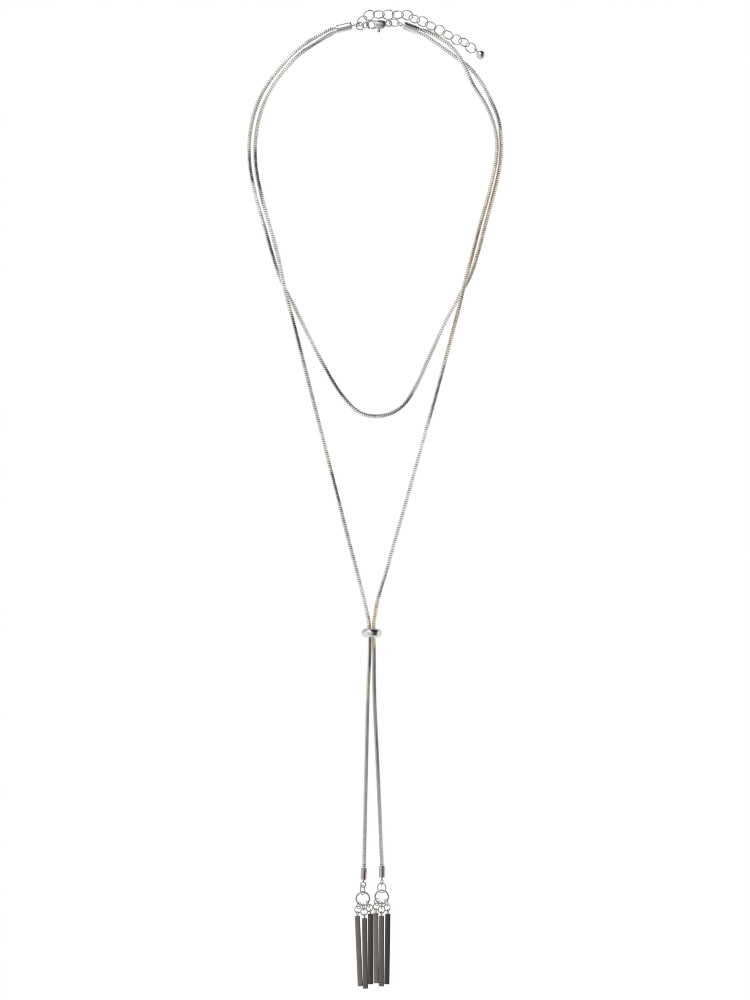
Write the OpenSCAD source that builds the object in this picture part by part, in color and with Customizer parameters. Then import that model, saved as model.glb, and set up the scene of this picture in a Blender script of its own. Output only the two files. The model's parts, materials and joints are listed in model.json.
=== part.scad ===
// Two-layer lariat necklace laid flat: a short strand and two long strands of
// square snake chain leave one clasp, the long pair runs through a slider bead
// and each long strand ends in a tassel of three square bars.
// Millimetres. X to the right, Y towards the clasp, Z up from the table.

/* [Chain] */
// Circle that the corners of the square chain sweep
chain_d = 1.85; // [1.75:0.01:1.86]
// Chain diameter where two ends are squeezed into one clasp cap
crimped_d = 1.36; // [1.3:0.02:1.38]

/* [Clasp caps] */
// Outer diameter of the cup that takes both chain ends
cap_d = 3.6; // [3.4:0.1:3.8]
// Bore of that cup
cap_bore_d = 3.05; // [3:0.01:3.1]
// Length of that cup
cap_len = 6.8; // [6.2:0.1:7]
// Depth of its bore from the mouth
cap_bore_len = 5.2; // [4.8:0.1:5.4]
// Outer diameter of the loop soldered to the cup
cap_loop_d = 2.7; // [2.6:0.1:2.8]
// Wire of that loop
cap_loop_wire = 0.55; // [0.5:0.05:0.6]

/* [Clasp] */
// Thickness of the clasp's flattened casing
casing_t = 2.8; // [2.6:0.1:2.8]
// Largest diameter of the casing before it is flattened
casing_d = 3.9; // [3.7:0.1:4]
// Length of the casing
casing_len = 4.3; // [4.1:0.1:4.3]
// Wire of the hook
hook_wire = 0.8; // [0.7:0.05:0.8]
// Radius of the hook's round end, on the wire's centreline
hook_r = 1.6; // [1.55:0.05:1.65]
// Slot in the casing that the lever turns in
slot_t = 1.3; // [1.2:0.05:1.3]
// Thickness of the lever's hub
hub_t = 1; // [0.9:0.05:1]
// Diameter of the rivet that the lever turns on
rivet_d = 0.75; // [0.7:0.01:0.8]
// Running clearance between rivet and hub, on the radius
rivet_gap = 0.08; // [0.05:0.01:0.1]

/* [Extender] */
// Outer diameter of an extender link
link_d = 5.3; // [5.2:0.05:5.35]
// Wire of an extender link
link_wire = 0.48; // [0.44:0.01:0.5]
// How far each link rolls about the chain, turn about left and right
link_roll = 42; // [36:1:46]
// Diameter of the ball at the free end
ball_d = 4; // [3.8:0.1:4.2]

/* [Slider] */
// Outer diameter of the slider bead
slider_d = 9.1; // [8.8:0.1:9.4]
// Width of the slider bead along the chains
slider_w = 3.9; // [3.6:0.1:4.2]
// Bore that the two long strands run through
slider_bore_d = 4.3; // [4.25:0.05:4.4]

/* [Tassels] */
// Outer diameter of the crimp cap on a long strand
crimp_d = 2.65; // [2.55:0.05:2.7]
// Length of the crimp cap
crimp_len = 5; // [4.8:0.1:5.1]
// Bore of the crimp cap
crimp_bore_d = 2.05; // [2:0.01:2.1]
// Outer diameter of the ring that each tassel gathers on
big_ring_d = 6.45; // [6.3:0.05:6.5]
// Wire of that ring
big_ring_wire = 0.73; // [0.7:0.01:0.74]
// Outer diameter of the small rings between ring and bars
small_ring_d = 3.4; // [3.35:0.05:3.45]
// Wire of the small rings
small_ring_wire = 0.45; // [0.42:0.01:0.46]
// Width and depth of a square bar
bar_w = 2; // [1.9:0.05:2.05]
// Length of a bar
bar_len = 30.2; // [29:0.2:30.6]
// Chamfer along the bar's long edges
bar_chamfer = 0.25; // [0.1:0.05:0.4]

/* [Hidden] */
TURNED = 48;
WIRE = 20;
chain_r = chain_d / 2;
// Height of a chain's centreline where it lies on the table
lie = 0.93;

// Clasp caps: [x, y] of the mouth, angle of the cup's axis from mouth to loop,
// and [x, y, roll] of the loop
CAP_LEFT = [[-16.3, 202.3], 13.5];
LOOP_LEFT = [-7.45, 204.25, 65];
CAP_RIGHT = [[18.8, 201.75], 159.5];
LOOP_RIGHT = [10.85, 204.6, 50];
// How far a neck runs on past the middle of the loop's wire that it is soldered to
solder = 0.08;
// Half the distance between the two chain ends in a cup
end_offset = 0.74;

// Free stretch of each strand, as [x, y, z] points laid by hand
SHORT_ROUTE = [
    [-19.2, 202.35, 1.65], [-23.4, 200.25, 1.25], [-32, 194.7, lie], [-39.4, 187.4, lie],
    [-45.6, 179.4, lie], [-50.1, 171.2, lie], [-52.9, 162, lie], [-54, 151.6, lie],
    [-53.4, 141.6, lie], [-51.2, 131.2, lie], [-47.9, 119.4, lie], [-44.3, 106.6, lie],
    [-41.2, 97, lie], [-38.3, 90.4, lie], [-34.9, 83.9, lie], [-28.6, 71, lie],
    [-22, 58.1, lie], [-16.3, 48.3, lie], [-11.4, 41.8, lie], [-7.8, 38.5, lie],
    [-3.8, 36.5, lie], [0.6, 36, lie], [5, 36.6, lie], [9.2, 38.4, lie],
    [13.1, 41.6, lie], [17.6, 48.6, lie], [24.9, 64.5, lie], [30.9, 77.4, lie],
    [34.5, 83.9, lie], [38, 90.3, lie], [41.4, 97, lie], [44.9, 107.8, lie],
    [47.6, 118.2, lie], [50.6, 129, lie], [53.2, 139.4, lie], [54.6, 148.4, lie],
    [54.5, 156.6, lie], [53, 164.4, lie], [50, 172, lie], [46.1, 179.4, lie],
    [41.6, 185.2, lie], [37, 189, lie], [32.5, 192.2, lie], [26, 196.9, 1.1],
    [21.7, 199.7, 1.5],
];
LONG_LEFT_ROUTE = [
    [-18.9, 200.2, 1.65], [-22.6, 198.15, 1.25], [-30.6, 192.9, lie], [-37.6, 186.1, lie],
    [-43.5, 178.3, lie], [-47.6, 170.2, lie], [-50.2, 161.4, lie], [-51.4, 151.6, lie],
    [-50.9, 141.9, lie], [-48.8, 131.6, lie], [-45.5, 119.6, lie], [-42, 107, 1.25],
    [-40, 97.6, 2.7], [-38.6, 90.6, 3.05], [-36.9, 83.9, 2.5], [-34.3, 74, 1.3],
    [-31.9, 64.5, lie], [-23.2, 30.1, lie], [-11.2, -17.2, lie], [-7.8, -30, 1.4],
    [-4.5, -43, 2.9], [-3.2, -49, 3.8], [-2.5, -52.6, 4.2], [-2.3, -57, 4.3],
    [-2.15, -62, 4.1], [-2.3, -70, 2.9], [-2.7, -78, 1.8], [-3, -88, lie],
    [-3.7, -120.4, lie], [-4.4, -152, 1],
];
LONG_RIGHT_ROUTE = [
    [22.4, 201.5, 1.75], [27.4, 199, 1.7], [31.7, 196.1, 2.1], [35, 192.6, 2.8],
    [37.3, 188.9, 3.05], [39.5, 184.6, 2.7], [42.4, 178.5, 1.6], [47.1, 171.2, lie],
    [50.5, 163.8, lie], [52.4, 156.2, lie], [52.5, 148.4, lie], [51.1, 139.8, lie],
    [48.5, 129.2, lie], [45.4, 118.6, lie], [42.7, 108.2, 1.3], [39.9, 97.6, 2.7],
    [38, 90.3, 3.05], [36.6, 83.9, 2.5], [34.5, 75.4, 1.2], [31.6, 64.5, lie],
    [22.2, 30.1, lie], [13.8, 0, lie], [8.9, -17.2, lie], [5.2, -30, 1.4],
    [1.3, -43, 2.9], [0.4, -49, 3.8], [-0.15, -52.6, 4.2], [-0.3, -57, 4.3],
    [-0.15, -62, 4.1], [-0.15, -70, 2.9], [-0.15, -78, 1.8], [0.1, -88, lie],
    [1.6, -120.4, lie], [2.9, -150, 1],
];

// Clasp: [x, y] of the rivet, height of the clasp's middle plane, and the eye
// and the hook's round end as [x, y] from the rivet
CLASP_AT = [2.6, 204];
clasp_z = casing_t / 2;
CASING_AT = [0.25, 0.45];
EYE_AT = [3.45, 0.95];
eye_d = 3.2;
eye_wire = 0.7;
HOOK_AT = [-4.2, 0.4];
nose_angle = 250;
// How much wider the arm and the nose are than the hook's wire
swell = 0.06;
arm_end = -0.9;
GATE_TIP = [-3.8, -1.1];
gate_wire = 0.8;
TAB_TIP = [-0.9, -2.55];
hub_d = 2;
SLOT_REACH = [6, 6, 0];

// Rings by the clasp as [x, y, z, heading, roll, outer diameter, wire]
EXTENDER_RING = [-6.25, 203.7, 1.85, 105, 14, 3.6, 0.45];
CATCH_RING = [-3.95, 204.2, 1.5, 10, 50, 3.6, 0.45];
CLASP_RING = [8.45, 205.15, 2, -10, 54, 4.8, 0.5];

// Extender links in order from the clasp, as [x, y]
EXTENDER = [
    [-5.4, 206], [-2.3, 208.4], [1.8, 208.7], [5.9, 208.6], [10, 208.6], [14.1, 208.4],
    [17.1, 206.8], [20.6, 205.7], [24.2, 203.8], [27.95, 201.95], [31.6, 199.9], [35.2, 197.9],
    [38.5, 196.7], [41.4, 194.4],
];
BALL_AT = [45.7, 191.3];
BALL_EYE = [43.55, 193.4];
ball_eye_d = 1.85;
ball_eye_wire = 0.45;
link_r = (link_d - link_wire) / 2;
link_z = link_r * sin(link_roll) + link_wire / 2;
extender_path = concat([[EXTENDER_RING[0], EXTENDER_RING[1]]], EXTENDER, [BALL_EYE]);

// Slider bead
SLIDER_AT = [-1.3, -57];

// Tassels: [x, y] of the crimp cap's mouth and of its loop, and the loop's roll
CRIMP_LEFT = [[-4.5, -158.4], [-4.85, -165.4], 10];
CRIMP_RIGHT = [[3.2, -157.4], [3.2, -164.3], -65];
crimp_loop_d = 2.75;
crimp_loop_wire = 0.5;
// Connecting and gathering rings as [x, y, z, heading, roll, outer diameter, wire]
JOIN_LEFT = [-5.1, -167.6, 2.15, 96, 64, 4.7, 0.55];
JOIN_RIGHT = [3.1, -166.8, 1.35, 88, -30, 4.7, 0.55];
GATHER_LEFT = [-5.05, -171.4, 1.75, 90, 5, big_ring_d, big_ring_wire];
GATHER_RIGHT = [3.1, -170.7, 1.35, 90, 5, big_ring_d, big_ring_wire];
// Bars as [x of the top, y of the top, x of the bottom, gathering ring, and the
// angle on that ring where the bar hangs]
BARS = [
    [-7.4, -178.9, -6.1, 0, 237],
    [-4.3, -179.9, -3.85, 0, 274],
    [-1.75, -178, -1.65, 0, 316],
    [0.55, -177.6, 0.75, 1, 224],
    [3, -178.9, 2.95, 1, 271],
    [5.75, -178, 5.3, 1, 312],
];
// Rings of each bar as [upper ring's distance from the hang point, its roll, its
// lift off the table, lower ring's distance from the bar's eye, its roll, its
// lift, roll of the eye]
BAR_RINGS = [
    [0.55, 55, 0.1, 1.6, -20, 0.3, 50],
    [0.75, 75, 0, 1.6, -10, 0.6, 75],
    [0.4, 70, 0.05, 1.35, -20, 0.3, 75],
    [0.15, 50, 0.05, 1.55, -30, 0.05, 50],
    [0.6, 85, 0, 1.6, -15, 0.45, 70],
    [0.35, 60, 0, 1.6, -35, 0.05, 65],
];
eye_ring_d = 2;
eye_ring_wire = 0.45;
eye_stem = 0.3;
eye_stem_d = 0.7;
// How far the stem's root sits within the eye's outer radius
eye_bite = 0.1;
// Glue line between the stem and the bar's top face
eye_gap = 0.04;
small_ring_r = (small_ring_d - small_ring_wire) / 2;

function unit(v) = v / norm(v);
function heading(v) = atan2(v.y, v.x);
function polar(r, a) = [r * cos(a), r * sin(a)];

// A point on the axis of a clasp cup or beside it, depth in from the mouth
function cup_point(cup, depth, beside) =
    let (at = cup[0] + polar(depth, cup[1]) + polar(beside, cup[1] + 90))
    [at.x, at.y, cap_d / 2];

// A point on the axis of a crimp cap, depth in from the mouth
function crimp_axis(crimp) = heading(crimp[1] - crimp[0]);
function crimp_point(crimp, depth) =
    let (at = crimp[0] + polar(depth, crimp_axis(crimp)))
    [at.x, at.y, crimp_d / 2];

short_path = concat(
    [cup_point(CAP_LEFT, 4.9, end_offset), cup_point(CAP_LEFT, 0, end_offset)],
    SHORT_ROUTE,
    [cup_point(CAP_RIGHT, 0, end_offset), cup_point(CAP_RIGHT, 4.9, end_offset)]
);
long_left_path = concat(
    [cup_point(CAP_LEFT, 4.9, -end_offset), cup_point(CAP_LEFT, 0, -end_offset)],
    LONG_LEFT_ROUTE,
    [crimp_point(CRIMP_LEFT, 0), crimp_point(CRIMP_LEFT, 3.6)]
);
long_right_path = concat(
    [cup_point(CAP_RIGHT, 4.9, -end_offset), cup_point(CAP_RIGHT, 0, -end_offset)],
    LONG_RIGHT_ROUTE,
    [crimp_point(CRIMP_RIGHT, 0), crimp_point(CRIMP_RIGHT, 3.6)]
);

function path_tangent(path, i) =
    unit(path[min(i + 1, len(path) - 1)] - path[max(i - 1, 0)]);

// Eight corners around one route point
function section(path, i, r) =
    let (
        along = path_tangent(path, i),
        side = unit(cross(along, [0, 0, 1])),
        up = cross(side, along)
    )
    [for (k = [0 : 7]) path[i] + r * (cos(45 * k) * side + sin(45 * k) * up)];

// A tube along a path; the first and last pairs of rings take their own radii
module chain_tube(path, start_r, end_r) {
    last = len(path) - 1;
    function ring_r(i) = i < 2 ? start_r : i > last - 2 ? end_r : chain_r;
    rings = [for (i = [0 : last]) section(path, i, ring_r(i))];
    polyhedron(
        points = [for (ring = rings) each ring],
        faces = concat(
            [[for (k = [7 : -1 : 0]) k]],
            [[for (k = [0 : 7]) 8 * last + k]],
            [for (i = [0 : last - 1]) for (k = [0 : 7])
                [8 * i + k, 8 * i + (k + 1) % 8, 8 * i + 8 + (k + 1) % 8, 8 * i + 8 + k]]
        )
    );
}

// A round ring lying in the XY plane
module torus(outer_d, wire) {
    rotate_extrude($fn = TURNED)
        translate([(outer_d - wire) / 2, 0])
            circle(d = wire, $fn = WIRE);
}

// A ring from a row of [x, y, z, heading, roll, outer diameter, wire]
module placed_ring(row) {
    translate([row[0], row[1], row[2]])
        rotate([0, 0, row[3]])
            rotate([row[4], 0, 0])
                torus(row[5], row[6]);
}

// A straight round rod between two points of one plane, with round ends
module rod(from, to, d) {
    span = to - from;
    translate([from.x, from.y, 0])
        rotate([0, 0, heading(span)])
            rotate([0, 90, 0])
                cylinder(d = d, h = norm(span), $fn = TURNED);
    translate([from.x, from.y, 0])
        sphere(d = d, $fn = TURNED);
    translate([to.x, to.y, 0])
        sphere(d = d, $fn = TURNED);
}

module short_strand() {
    color("silver") chain_tube(short_path, crimped_d / 2, crimped_d / 2);
}

module long_strand_left() {
    color("silver") chain_tube(long_left_path, crimped_d / 2, chain_r);
}

module long_strand_right() {
    color("silver") chain_tube(long_right_path, crimped_d / 2, chain_r);
}

// Cup with rounded shoulders, a bore for two chain ends, a short neck and a loop
module clasp_cap(cup, loop) {
    mouth = cup_point(cup, 0, 0);
    reach = norm([loop[0], loop[1]] - cup[0]) - (cap_loop_d - cap_loop_wire) / 2 + solder;
    shoulder = 0.5;
    translate(mouth)
        rotate([0, 0, cup[1]])
            rotate([0, 90, 0])
                difference() {
                    rotate_extrude($fn = TURNED)
                        polygon([
                            [0, 0], [cap_d / 2 - 0.1, 0], [cap_d / 2, 0.1],
                            [cap_d / 2, cap_len - shoulder], [cap_d / 2 - 0.2, cap_len - 0.15],
                            [cap_d / 2 - shoulder, cap_len], [cap_loop_wire / 2 + 0.05, cap_len],
                            [cap_loop_wire / 2 + 0.05, reach], [0, reach],
                        ]);
                    translate([0, 0, -1])
                        cylinder(d = cap_bore_d, h = cap_bore_len + 1, $fn = TURNED);
                }
    placed_ring([loop[0], loop[1], cap_d / 2, cup[1], loop[2], cap_loop_d, cap_loop_wire]);
}

module end_cap_left() {
    color("silver") clasp_cap(CAP_LEFT, LOOP_LEFT);
}

module end_cap_right() {
    color("silver") clasp_cap(CAP_RIGHT, LOOP_RIGHT);
}

module extender_ring() {
    color("silver") placed_ring(EXTENDER_RING);
}

module catch_ring() {
    color("silver") placed_ring(CATCH_RING);
}

module clasp_ring() {
    color("silver") placed_ring(CLASP_RING);
}

// Radius of the casing along its length, from 0 at the hook to 1 at the eye
function casing_r(t) = casing_d / 2 * sqrt(max(0, 1 - pow(abs(t - 0.42) / 0.7, 2.4)));

module casing() {
    steps = 12;
    start = CASING_AT.x - casing_len / 2;
    intersection() {
        translate([start, CASING_AT.y, 0])
            rotate([0, 90, 0])
                rotate_extrude($fn = TURNED)
                    polygon(concat(
                        [[0, 0]],
                        [for (i = [0 : steps]) [casing_r(i / steps), casing_len * i / steps]],
                        [[0, casing_len]]
                    ));
        cube([20, 20, casing_t], center = true);
    }
}

// Casing, back arm, hook, eye and rivet in one piece
module clasp_body() {
    color("silver")
        translate([CLASP_AT.x, CLASP_AT.y, clasp_z]) {
            difference() {
                casing();
                translate([-SLOT_REACH.x, -SLOT_REACH.y, -slot_t / 2])
                    cube(SLOT_REACH + [hub_d / 2 + 0.4, hub_d / 2 + 0.2, slot_t]);
            }
            cylinder(d = rivet_d, h = casing_t, center = true, $fn = TURNED);
            translate([HOOK_AT.x, HOOK_AT.y, 0])
                rotate([0, 0, 90])
                    rotate_extrude(angle = nose_angle - 90, $fn = TURNED)
                        translate([hook_r, 0])
                            circle(d = hook_wire, $fn = WIRE);
            rod([HOOK_AT.x, HOOK_AT.y + hook_r], [arm_end, HOOK_AT.y + hook_r], hook_wire + swell);
            translate(concat(HOOK_AT + polar(hook_r, nose_angle), [0]))
                sphere(d = hook_wire + swell, $fn = TURNED);
            translate([EYE_AT.x, EYE_AT.y, 0])
                torus(eye_d, eye_wire);
        }
}

// Arm of the lever that starts inside the hub and ends round at its tip
module lever_arm(tip) {
    root = 0.9 * hub_d / 2;
    rotate([0, 0, heading(tip)]) {
        translate([root, 0, 0])
            rotate([0, 90, 0])
                cylinder(d = gate_wire, h = norm(tip) - root, $fn = TURNED);
        translate([norm(tip), 0, 0])
            sphere(d = gate_wire, $fn = TURNED);
    }
}

// Gate, hub and thumb tab in one piece, shut against the hook
module clasp_lever() {
    color("gainsboro")
        translate([CLASP_AT.x, CLASP_AT.y, clasp_z])
            union() {
                lever_arm(GATE_TIP);
                lever_arm(TAB_TIP);
                difference() {
                    cylinder(d = hub_d, h = hub_t, center = true, $fn = TURNED);
                    cylinder(d = rivet_d + 2 * rivet_gap, h = 2 * hub_t, center = true, $fn = TURNED);
                }
            }
}

// Link i of the extender, counted from 1, turned along the chain and rolled
module extender_link(i) {
    turn = heading(extender_path[i + 1] - extender_path[i - 1]);
    roll = i % 2 == 1 ? -link_roll : link_roll;
    color("silver")
        placed_ring([EXTENDER[i - 1].x, EXTENDER[i - 1].y, link_z, turn, roll, link_d, link_wire]);
}

module end_ball() {
    turn = heading(BALL_AT - BALL_EYE);
    color("silver") {
        translate([BALL_AT.x, BALL_AT.y, ball_d / 2])
            sphere(d = ball_d, $fn = TURNED);
        translate([BALL_AT.x, BALL_AT.y, ball_d / 2])
            rotate([0, 0, turn + 180])
                rotate([0, 90, 0])
                    cylinder(d = 0.7, h = norm(BALL_AT - BALL_EYE) - 0.65, $fn = WIRE);
        placed_ring([BALL_EYE.x, BALL_EYE.y, ball_d / 2, turn, -50, ball_eye_d, ball_eye_wire]);
    }
}

// Round bead with a full-round edge, standing on its edge, bored along Y
module slider_bead() {
    edge = slider_w / 2;
    color("silver")
        translate([SLIDER_AT.x, SLIDER_AT.y, slider_d / 2])
            rotate([90, 0, 0])
                rotate_extrude($fn = 96)
                    difference() {
                        union() {
                            translate([slider_d / 2 - edge, 0])
                                circle(r = edge, $fn = 64);
                            translate([0, -edge])
                                square([slider_d / 2 - edge, slider_w]);
                        }
                        translate([-1, -slider_w])
                            square([slider_bore_d / 2 + 1, 2 * slider_w]);
                    }
}

// Cup with a bore for one chain end, a short neck and a loop
module crimp_cap(crimp) {
    reach = norm(crimp[1] - crimp[0]) - (crimp_loop_d - crimp_loop_wire) / 2 + solder;
    translate(crimp_point(crimp, 0))
        rotate([0, 0, crimp_axis(crimp)])
            rotate([0, 90, 0])
                difference() {
                    rotate_extrude($fn = TURNED)
                        polygon([
                            [0, 0], [crimp_d / 2 - 0.1, 0], [crimp_d / 2, 0.1],
                            [crimp_d / 2, crimp_len - 0.3], [crimp_d / 2 - 0.3, crimp_len],
                            [0.35, crimp_len], [0.35, reach], [0, reach],
                        ]);
                    translate([0, 0, -1])
                        cylinder(d = crimp_bore_d, h = 4.8, $fn = TURNED);
                }
    placed_ring([
        crimp[1].x, crimp[1].y, crimp_d / 2, crimp_axis(crimp), crimp[2], crimp_loop_d, crimp_loop_wire,
    ]);
}

module crimp_cap_left() {
    color("silver") crimp_cap(CRIMP_LEFT);
}

module crimp_cap_right() {
    color("silver") crimp_cap(CRIMP_RIGHT);
}

module join_ring_left() {
    color("silver") placed_ring(JOIN_LEFT);
}

module join_ring_right() {
    color("silver") placed_ring(JOIN_RIGHT);
}

module gather_ring_left() {
    color("silver") placed_ring(GATHER_LEFT);
}

module gather_ring_right() {
    color("silver") placed_ring(GATHER_RIGHT);
}

// Where bar i hangs on its gathering ring, and the middle of the bar's own eye
function bar_angle(i) = heading([BARS[i][2] - BARS[i][0], -bar_len]);
function hang_point(i) =
    let (
        ring = BARS[i][3] == 0 ? GATHER_LEFT : GATHER_RIGHT,
        at = [ring[0], ring[1]] + polar((big_ring_d - big_ring_wire) / 2, BARS[i][4])
    )
    at;
function eye_point(i) =
    [BARS[i][0], BARS[i][1]] - polar(eye_stem + eye_ring_d / 2 - eye_bite, bar_angle(i));

// Small ring on the line from a bar's hang point to its eye, reach from the
// hang point, lifted off the table
module bar_ring(i, reach, roll, lift) {
    way = unit(eye_point(i) - hang_point(i));
    at = hang_point(i) + reach * way;
    rest_z = small_ring_r * abs(sin(roll)) + small_ring_wire / 2;
    placed_ring([at.x, at.y, rest_z + lift, heading(way), roll, small_ring_d, small_ring_wire]);
}

module upper_ring(i) {
    row = BAR_RINGS[i];
    color("silver") bar_ring(i, row[0], row[1], row[2]);
}

module lower_ring(i) {
    row = BAR_RINGS[i];
    color("silver") bar_ring(i, norm(eye_point(i) - hang_point(i)) - row[3], row[4], row[5]);
}

module bar_eye(i) {
    at = eye_point(i);
    eye_z = bar_w / 2;
    color("silver") {
        placed_ring([at.x, at.y, eye_z, bar_angle(i), BAR_RINGS[i][6], eye_ring_d, eye_ring_wire]);
        translate([at.x, at.y, eye_z])
            rotate([0, 0, bar_angle(i)])
                rotate([0, 90, 0])
                    translate([0, 0, eye_ring_d / 2 - eye_ring_wire])
                        cylinder(d = eye_stem_d, h = eye_stem + eye_ring_wire - eye_bite - eye_gap, $fn = WIRE);
    }
}

// Square bar with chamfered long edges, lying on one face
module bar(i) {
    half = bar_w / 2;
    inner = half - bar_chamfer;
    color("dimgray")
        translate([BARS[i][0], BARS[i][1], half])
            rotate([0, 0, bar_angle(i)])
                rotate([90, 0, 90])
                    linear_extrude(bar_len)
                        polygon([
                            [-half, -inner], [-inner, -half], [inner, -half], [half, -inner],
                            [half, inner], [inner, half], [-inner, half], [-half, inner],
                        ]);
}

short_strand();
long_strand_left();
long_strand_right();
end_cap_left();
end_cap_right();
extender_ring();
catch_ring();
clasp_ring();
clasp_body();
clasp_lever();
for (i = [1 : len(EXTENDER)])
    extender_link(i);
end_ball();
slider_bead();
crimp_cap_left();
crimp_cap_right();
join_ring_left();
join_ring_right();
gather_ring_left();
gather_ring_right();
for (i = [1 : len(BARS)])
    upper_ring(i - 1);
for (i = [1 : len(BARS)])
    lower_ring(i - 1);
for (i = [1 : len(BARS)])
    bar_eye(i - 1);
for (i = [1 : len(BARS)])
    bar(i - 1);
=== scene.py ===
"""Dresses the two-layer lariat necklace that lies flat on a white table, seen from above.

Lengths in the tables are millimetres, as in the part's source, and are turned
into metres where a mesh is made. X is to the right, Y towards the clasp, Z up.
"""

import json
import logging
import math
from dataclasses import dataclass, field
from enum import Enum

import bmesh
import bpy
from mathutils import Euler, Matrix, Vector

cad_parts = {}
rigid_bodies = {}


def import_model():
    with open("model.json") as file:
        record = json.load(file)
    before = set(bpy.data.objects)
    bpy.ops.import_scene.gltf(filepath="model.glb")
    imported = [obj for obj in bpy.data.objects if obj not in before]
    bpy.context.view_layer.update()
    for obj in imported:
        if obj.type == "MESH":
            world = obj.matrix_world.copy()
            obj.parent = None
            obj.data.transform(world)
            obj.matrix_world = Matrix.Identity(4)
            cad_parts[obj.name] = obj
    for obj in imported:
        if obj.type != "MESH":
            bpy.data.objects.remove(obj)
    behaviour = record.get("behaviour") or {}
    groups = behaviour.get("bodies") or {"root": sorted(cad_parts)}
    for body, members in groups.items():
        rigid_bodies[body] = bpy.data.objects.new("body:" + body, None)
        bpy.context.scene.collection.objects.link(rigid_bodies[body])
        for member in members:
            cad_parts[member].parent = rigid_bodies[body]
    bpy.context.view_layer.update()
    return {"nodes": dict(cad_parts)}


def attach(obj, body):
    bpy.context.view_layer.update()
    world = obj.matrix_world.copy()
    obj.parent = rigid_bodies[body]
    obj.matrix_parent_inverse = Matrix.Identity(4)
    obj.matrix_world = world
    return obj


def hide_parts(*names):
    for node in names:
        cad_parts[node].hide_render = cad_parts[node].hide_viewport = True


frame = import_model()

LOG = logging.getLogger("necklace")

MM = 0.001
# Radius that closes the end of a turned form
TIP = 0.004
# How far a neck or stem reaches into the wire of its loop
BITE = 0.1
# Angles in degrees from which an edge counts as sharp
SHARP = 32.0
SHARP_LINK = 30.0
SHARP_ROUND = 40.0
SHARP_BEVEL = 50.0

Point = tuple[float, float, float]
Colour = tuple[float, float, float]
Row = tuple[float, ...]
Tree = bpy.types.NodeTree
Node = bpy.types.Node
Socket = bpy.types.NodeSocket
Material = bpy.types.Material
Object = bpy.types.Object


class Body(Enum):
    """Body of the motion model that a piece rides on."""

    NECKLACE = "necklace"
    LEVER = "clasp_lever"


class Slot(Enum):
    """Material slot of the record that is named for a piece."""

    CHAIN = "chain_metal"
    POLISHED = "polished_metal"
    RING = "ring_metal"
    DARK = "dark_metal"


# Shader nodes

def add_node(tree: Tree, kind: str, **values: object) -> Node:
    """Adds a node and sets its properties.

    Args:
        tree: Tree that takes the node.
        kind: Blender's name of the node type.
        values: Properties of the node by name.

    Returns:
        The new node.
    """
    node = tree.nodes.new(kind)
    for name, value in values.items():
        setattr(node, name, value)
    return node


def link(tree: Tree, source: Socket, target: Socket) -> None:
    """Joins two sockets of one tree."""
    tree.links.new(source, target)


def feed(tree: Tree, value: object, target: Socket) -> None:
    """Joins a socket to an input, or sets the input to a plain value.

    Args:
        tree: Tree that holds the input.
        value: Socket or plain value.
        target: The input.
    """
    if isinstance(value, Socket):
        link(tree, value, target)
    else:
        target.default_value = value


def math_node(tree: Tree, operation: str, *inputs: object) -> Socket:
    """Adds a Math node.

    Args:
        tree: Tree that takes the node.
        operation: Math operation by Blender's name.
        inputs: Sockets or numbers, in the order of the node's inputs.

    Returns:
        The node's value socket.
    """
    node = add_node(tree, "ShaderNodeMath", operation=operation)
    for target, value in zip(node.inputs, inputs):
        feed(tree, value, target)
    return node.outputs[0]


def map_range(tree: Tree, value: Socket, smooth: bool = False, **ends: object) -> Socket:
    """Adds a Map Range node.

    Args:
        tree: Tree that takes the node.
        value: What is mapped.
        smooth: Whether it eases in and out.
        ends: Sockets or numbers for from_min, from_max, to_min and to_max, else 0 and 1.

    Returns:
        The mapped value.
    """
    node = add_node(tree, "ShaderNodeMapRange", interpolation_type="SMOOTHSTEP" if smooth else "LINEAR")
    link(tree, value, node.inputs["Value"])
    for name, end in ends.items():
        feed(tree, end, node.inputs[name.replace("_", " ").title()])
    return node.outputs["Result"]


def mix_colours(tree: Tree, low: Socket | Colour, high: Socket | Colour, share: Socket,
                clamp: bool = True) -> Socket:
    """Adds a Mix node for colours.

    Args:
        tree: Tree that takes the node.
        low: Colour at a share of 0.
        high: Colour at a share of 1.
        share: How much of the second colour.
        clamp: Whether a share above 1 counts as 1.

    Returns:
        The mixed colour.
    """
    node = add_node(tree, "ShaderNodeMix", data_type="RGBA", clamp_factor=clamp)
    for label, colour in (("A", low), ("B", high)):
        feed(tree, colour if isinstance(colour, Socket) else (*colour, 1), node.inputs[label])
    link(tree, share, node.inputs["Factor"])
    return node.outputs["Result"]


def new_group(name: str, inputs: list[tuple[str, str, object]], outputs: tuple[str, ...]
              ) -> tuple[Tree, Node, Node]:
    """Makes an empty shader group with named sockets.

    Args:
        name: Name of the group.
        inputs: Name, socket type and default value of each input.
        outputs: Name of each output, a number.

    Returns:
        The tree, its group input node and its group output node.
    """
    tree = bpy.data.node_groups.new(name, "ShaderNodeTree")
    for label, kind, value in inputs:
        socket = tree.interface.new_socket(label, in_out="INPUT", socket_type=kind)
        socket.default_value = value
    for label in outputs:
        tree.interface.new_socket(label, in_out="OUTPUT", socket_type="NodeSocketFloat")
    return tree, tree.nodes.new("NodeGroupInput"), tree.nodes.new("NodeGroupOutput")


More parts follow.
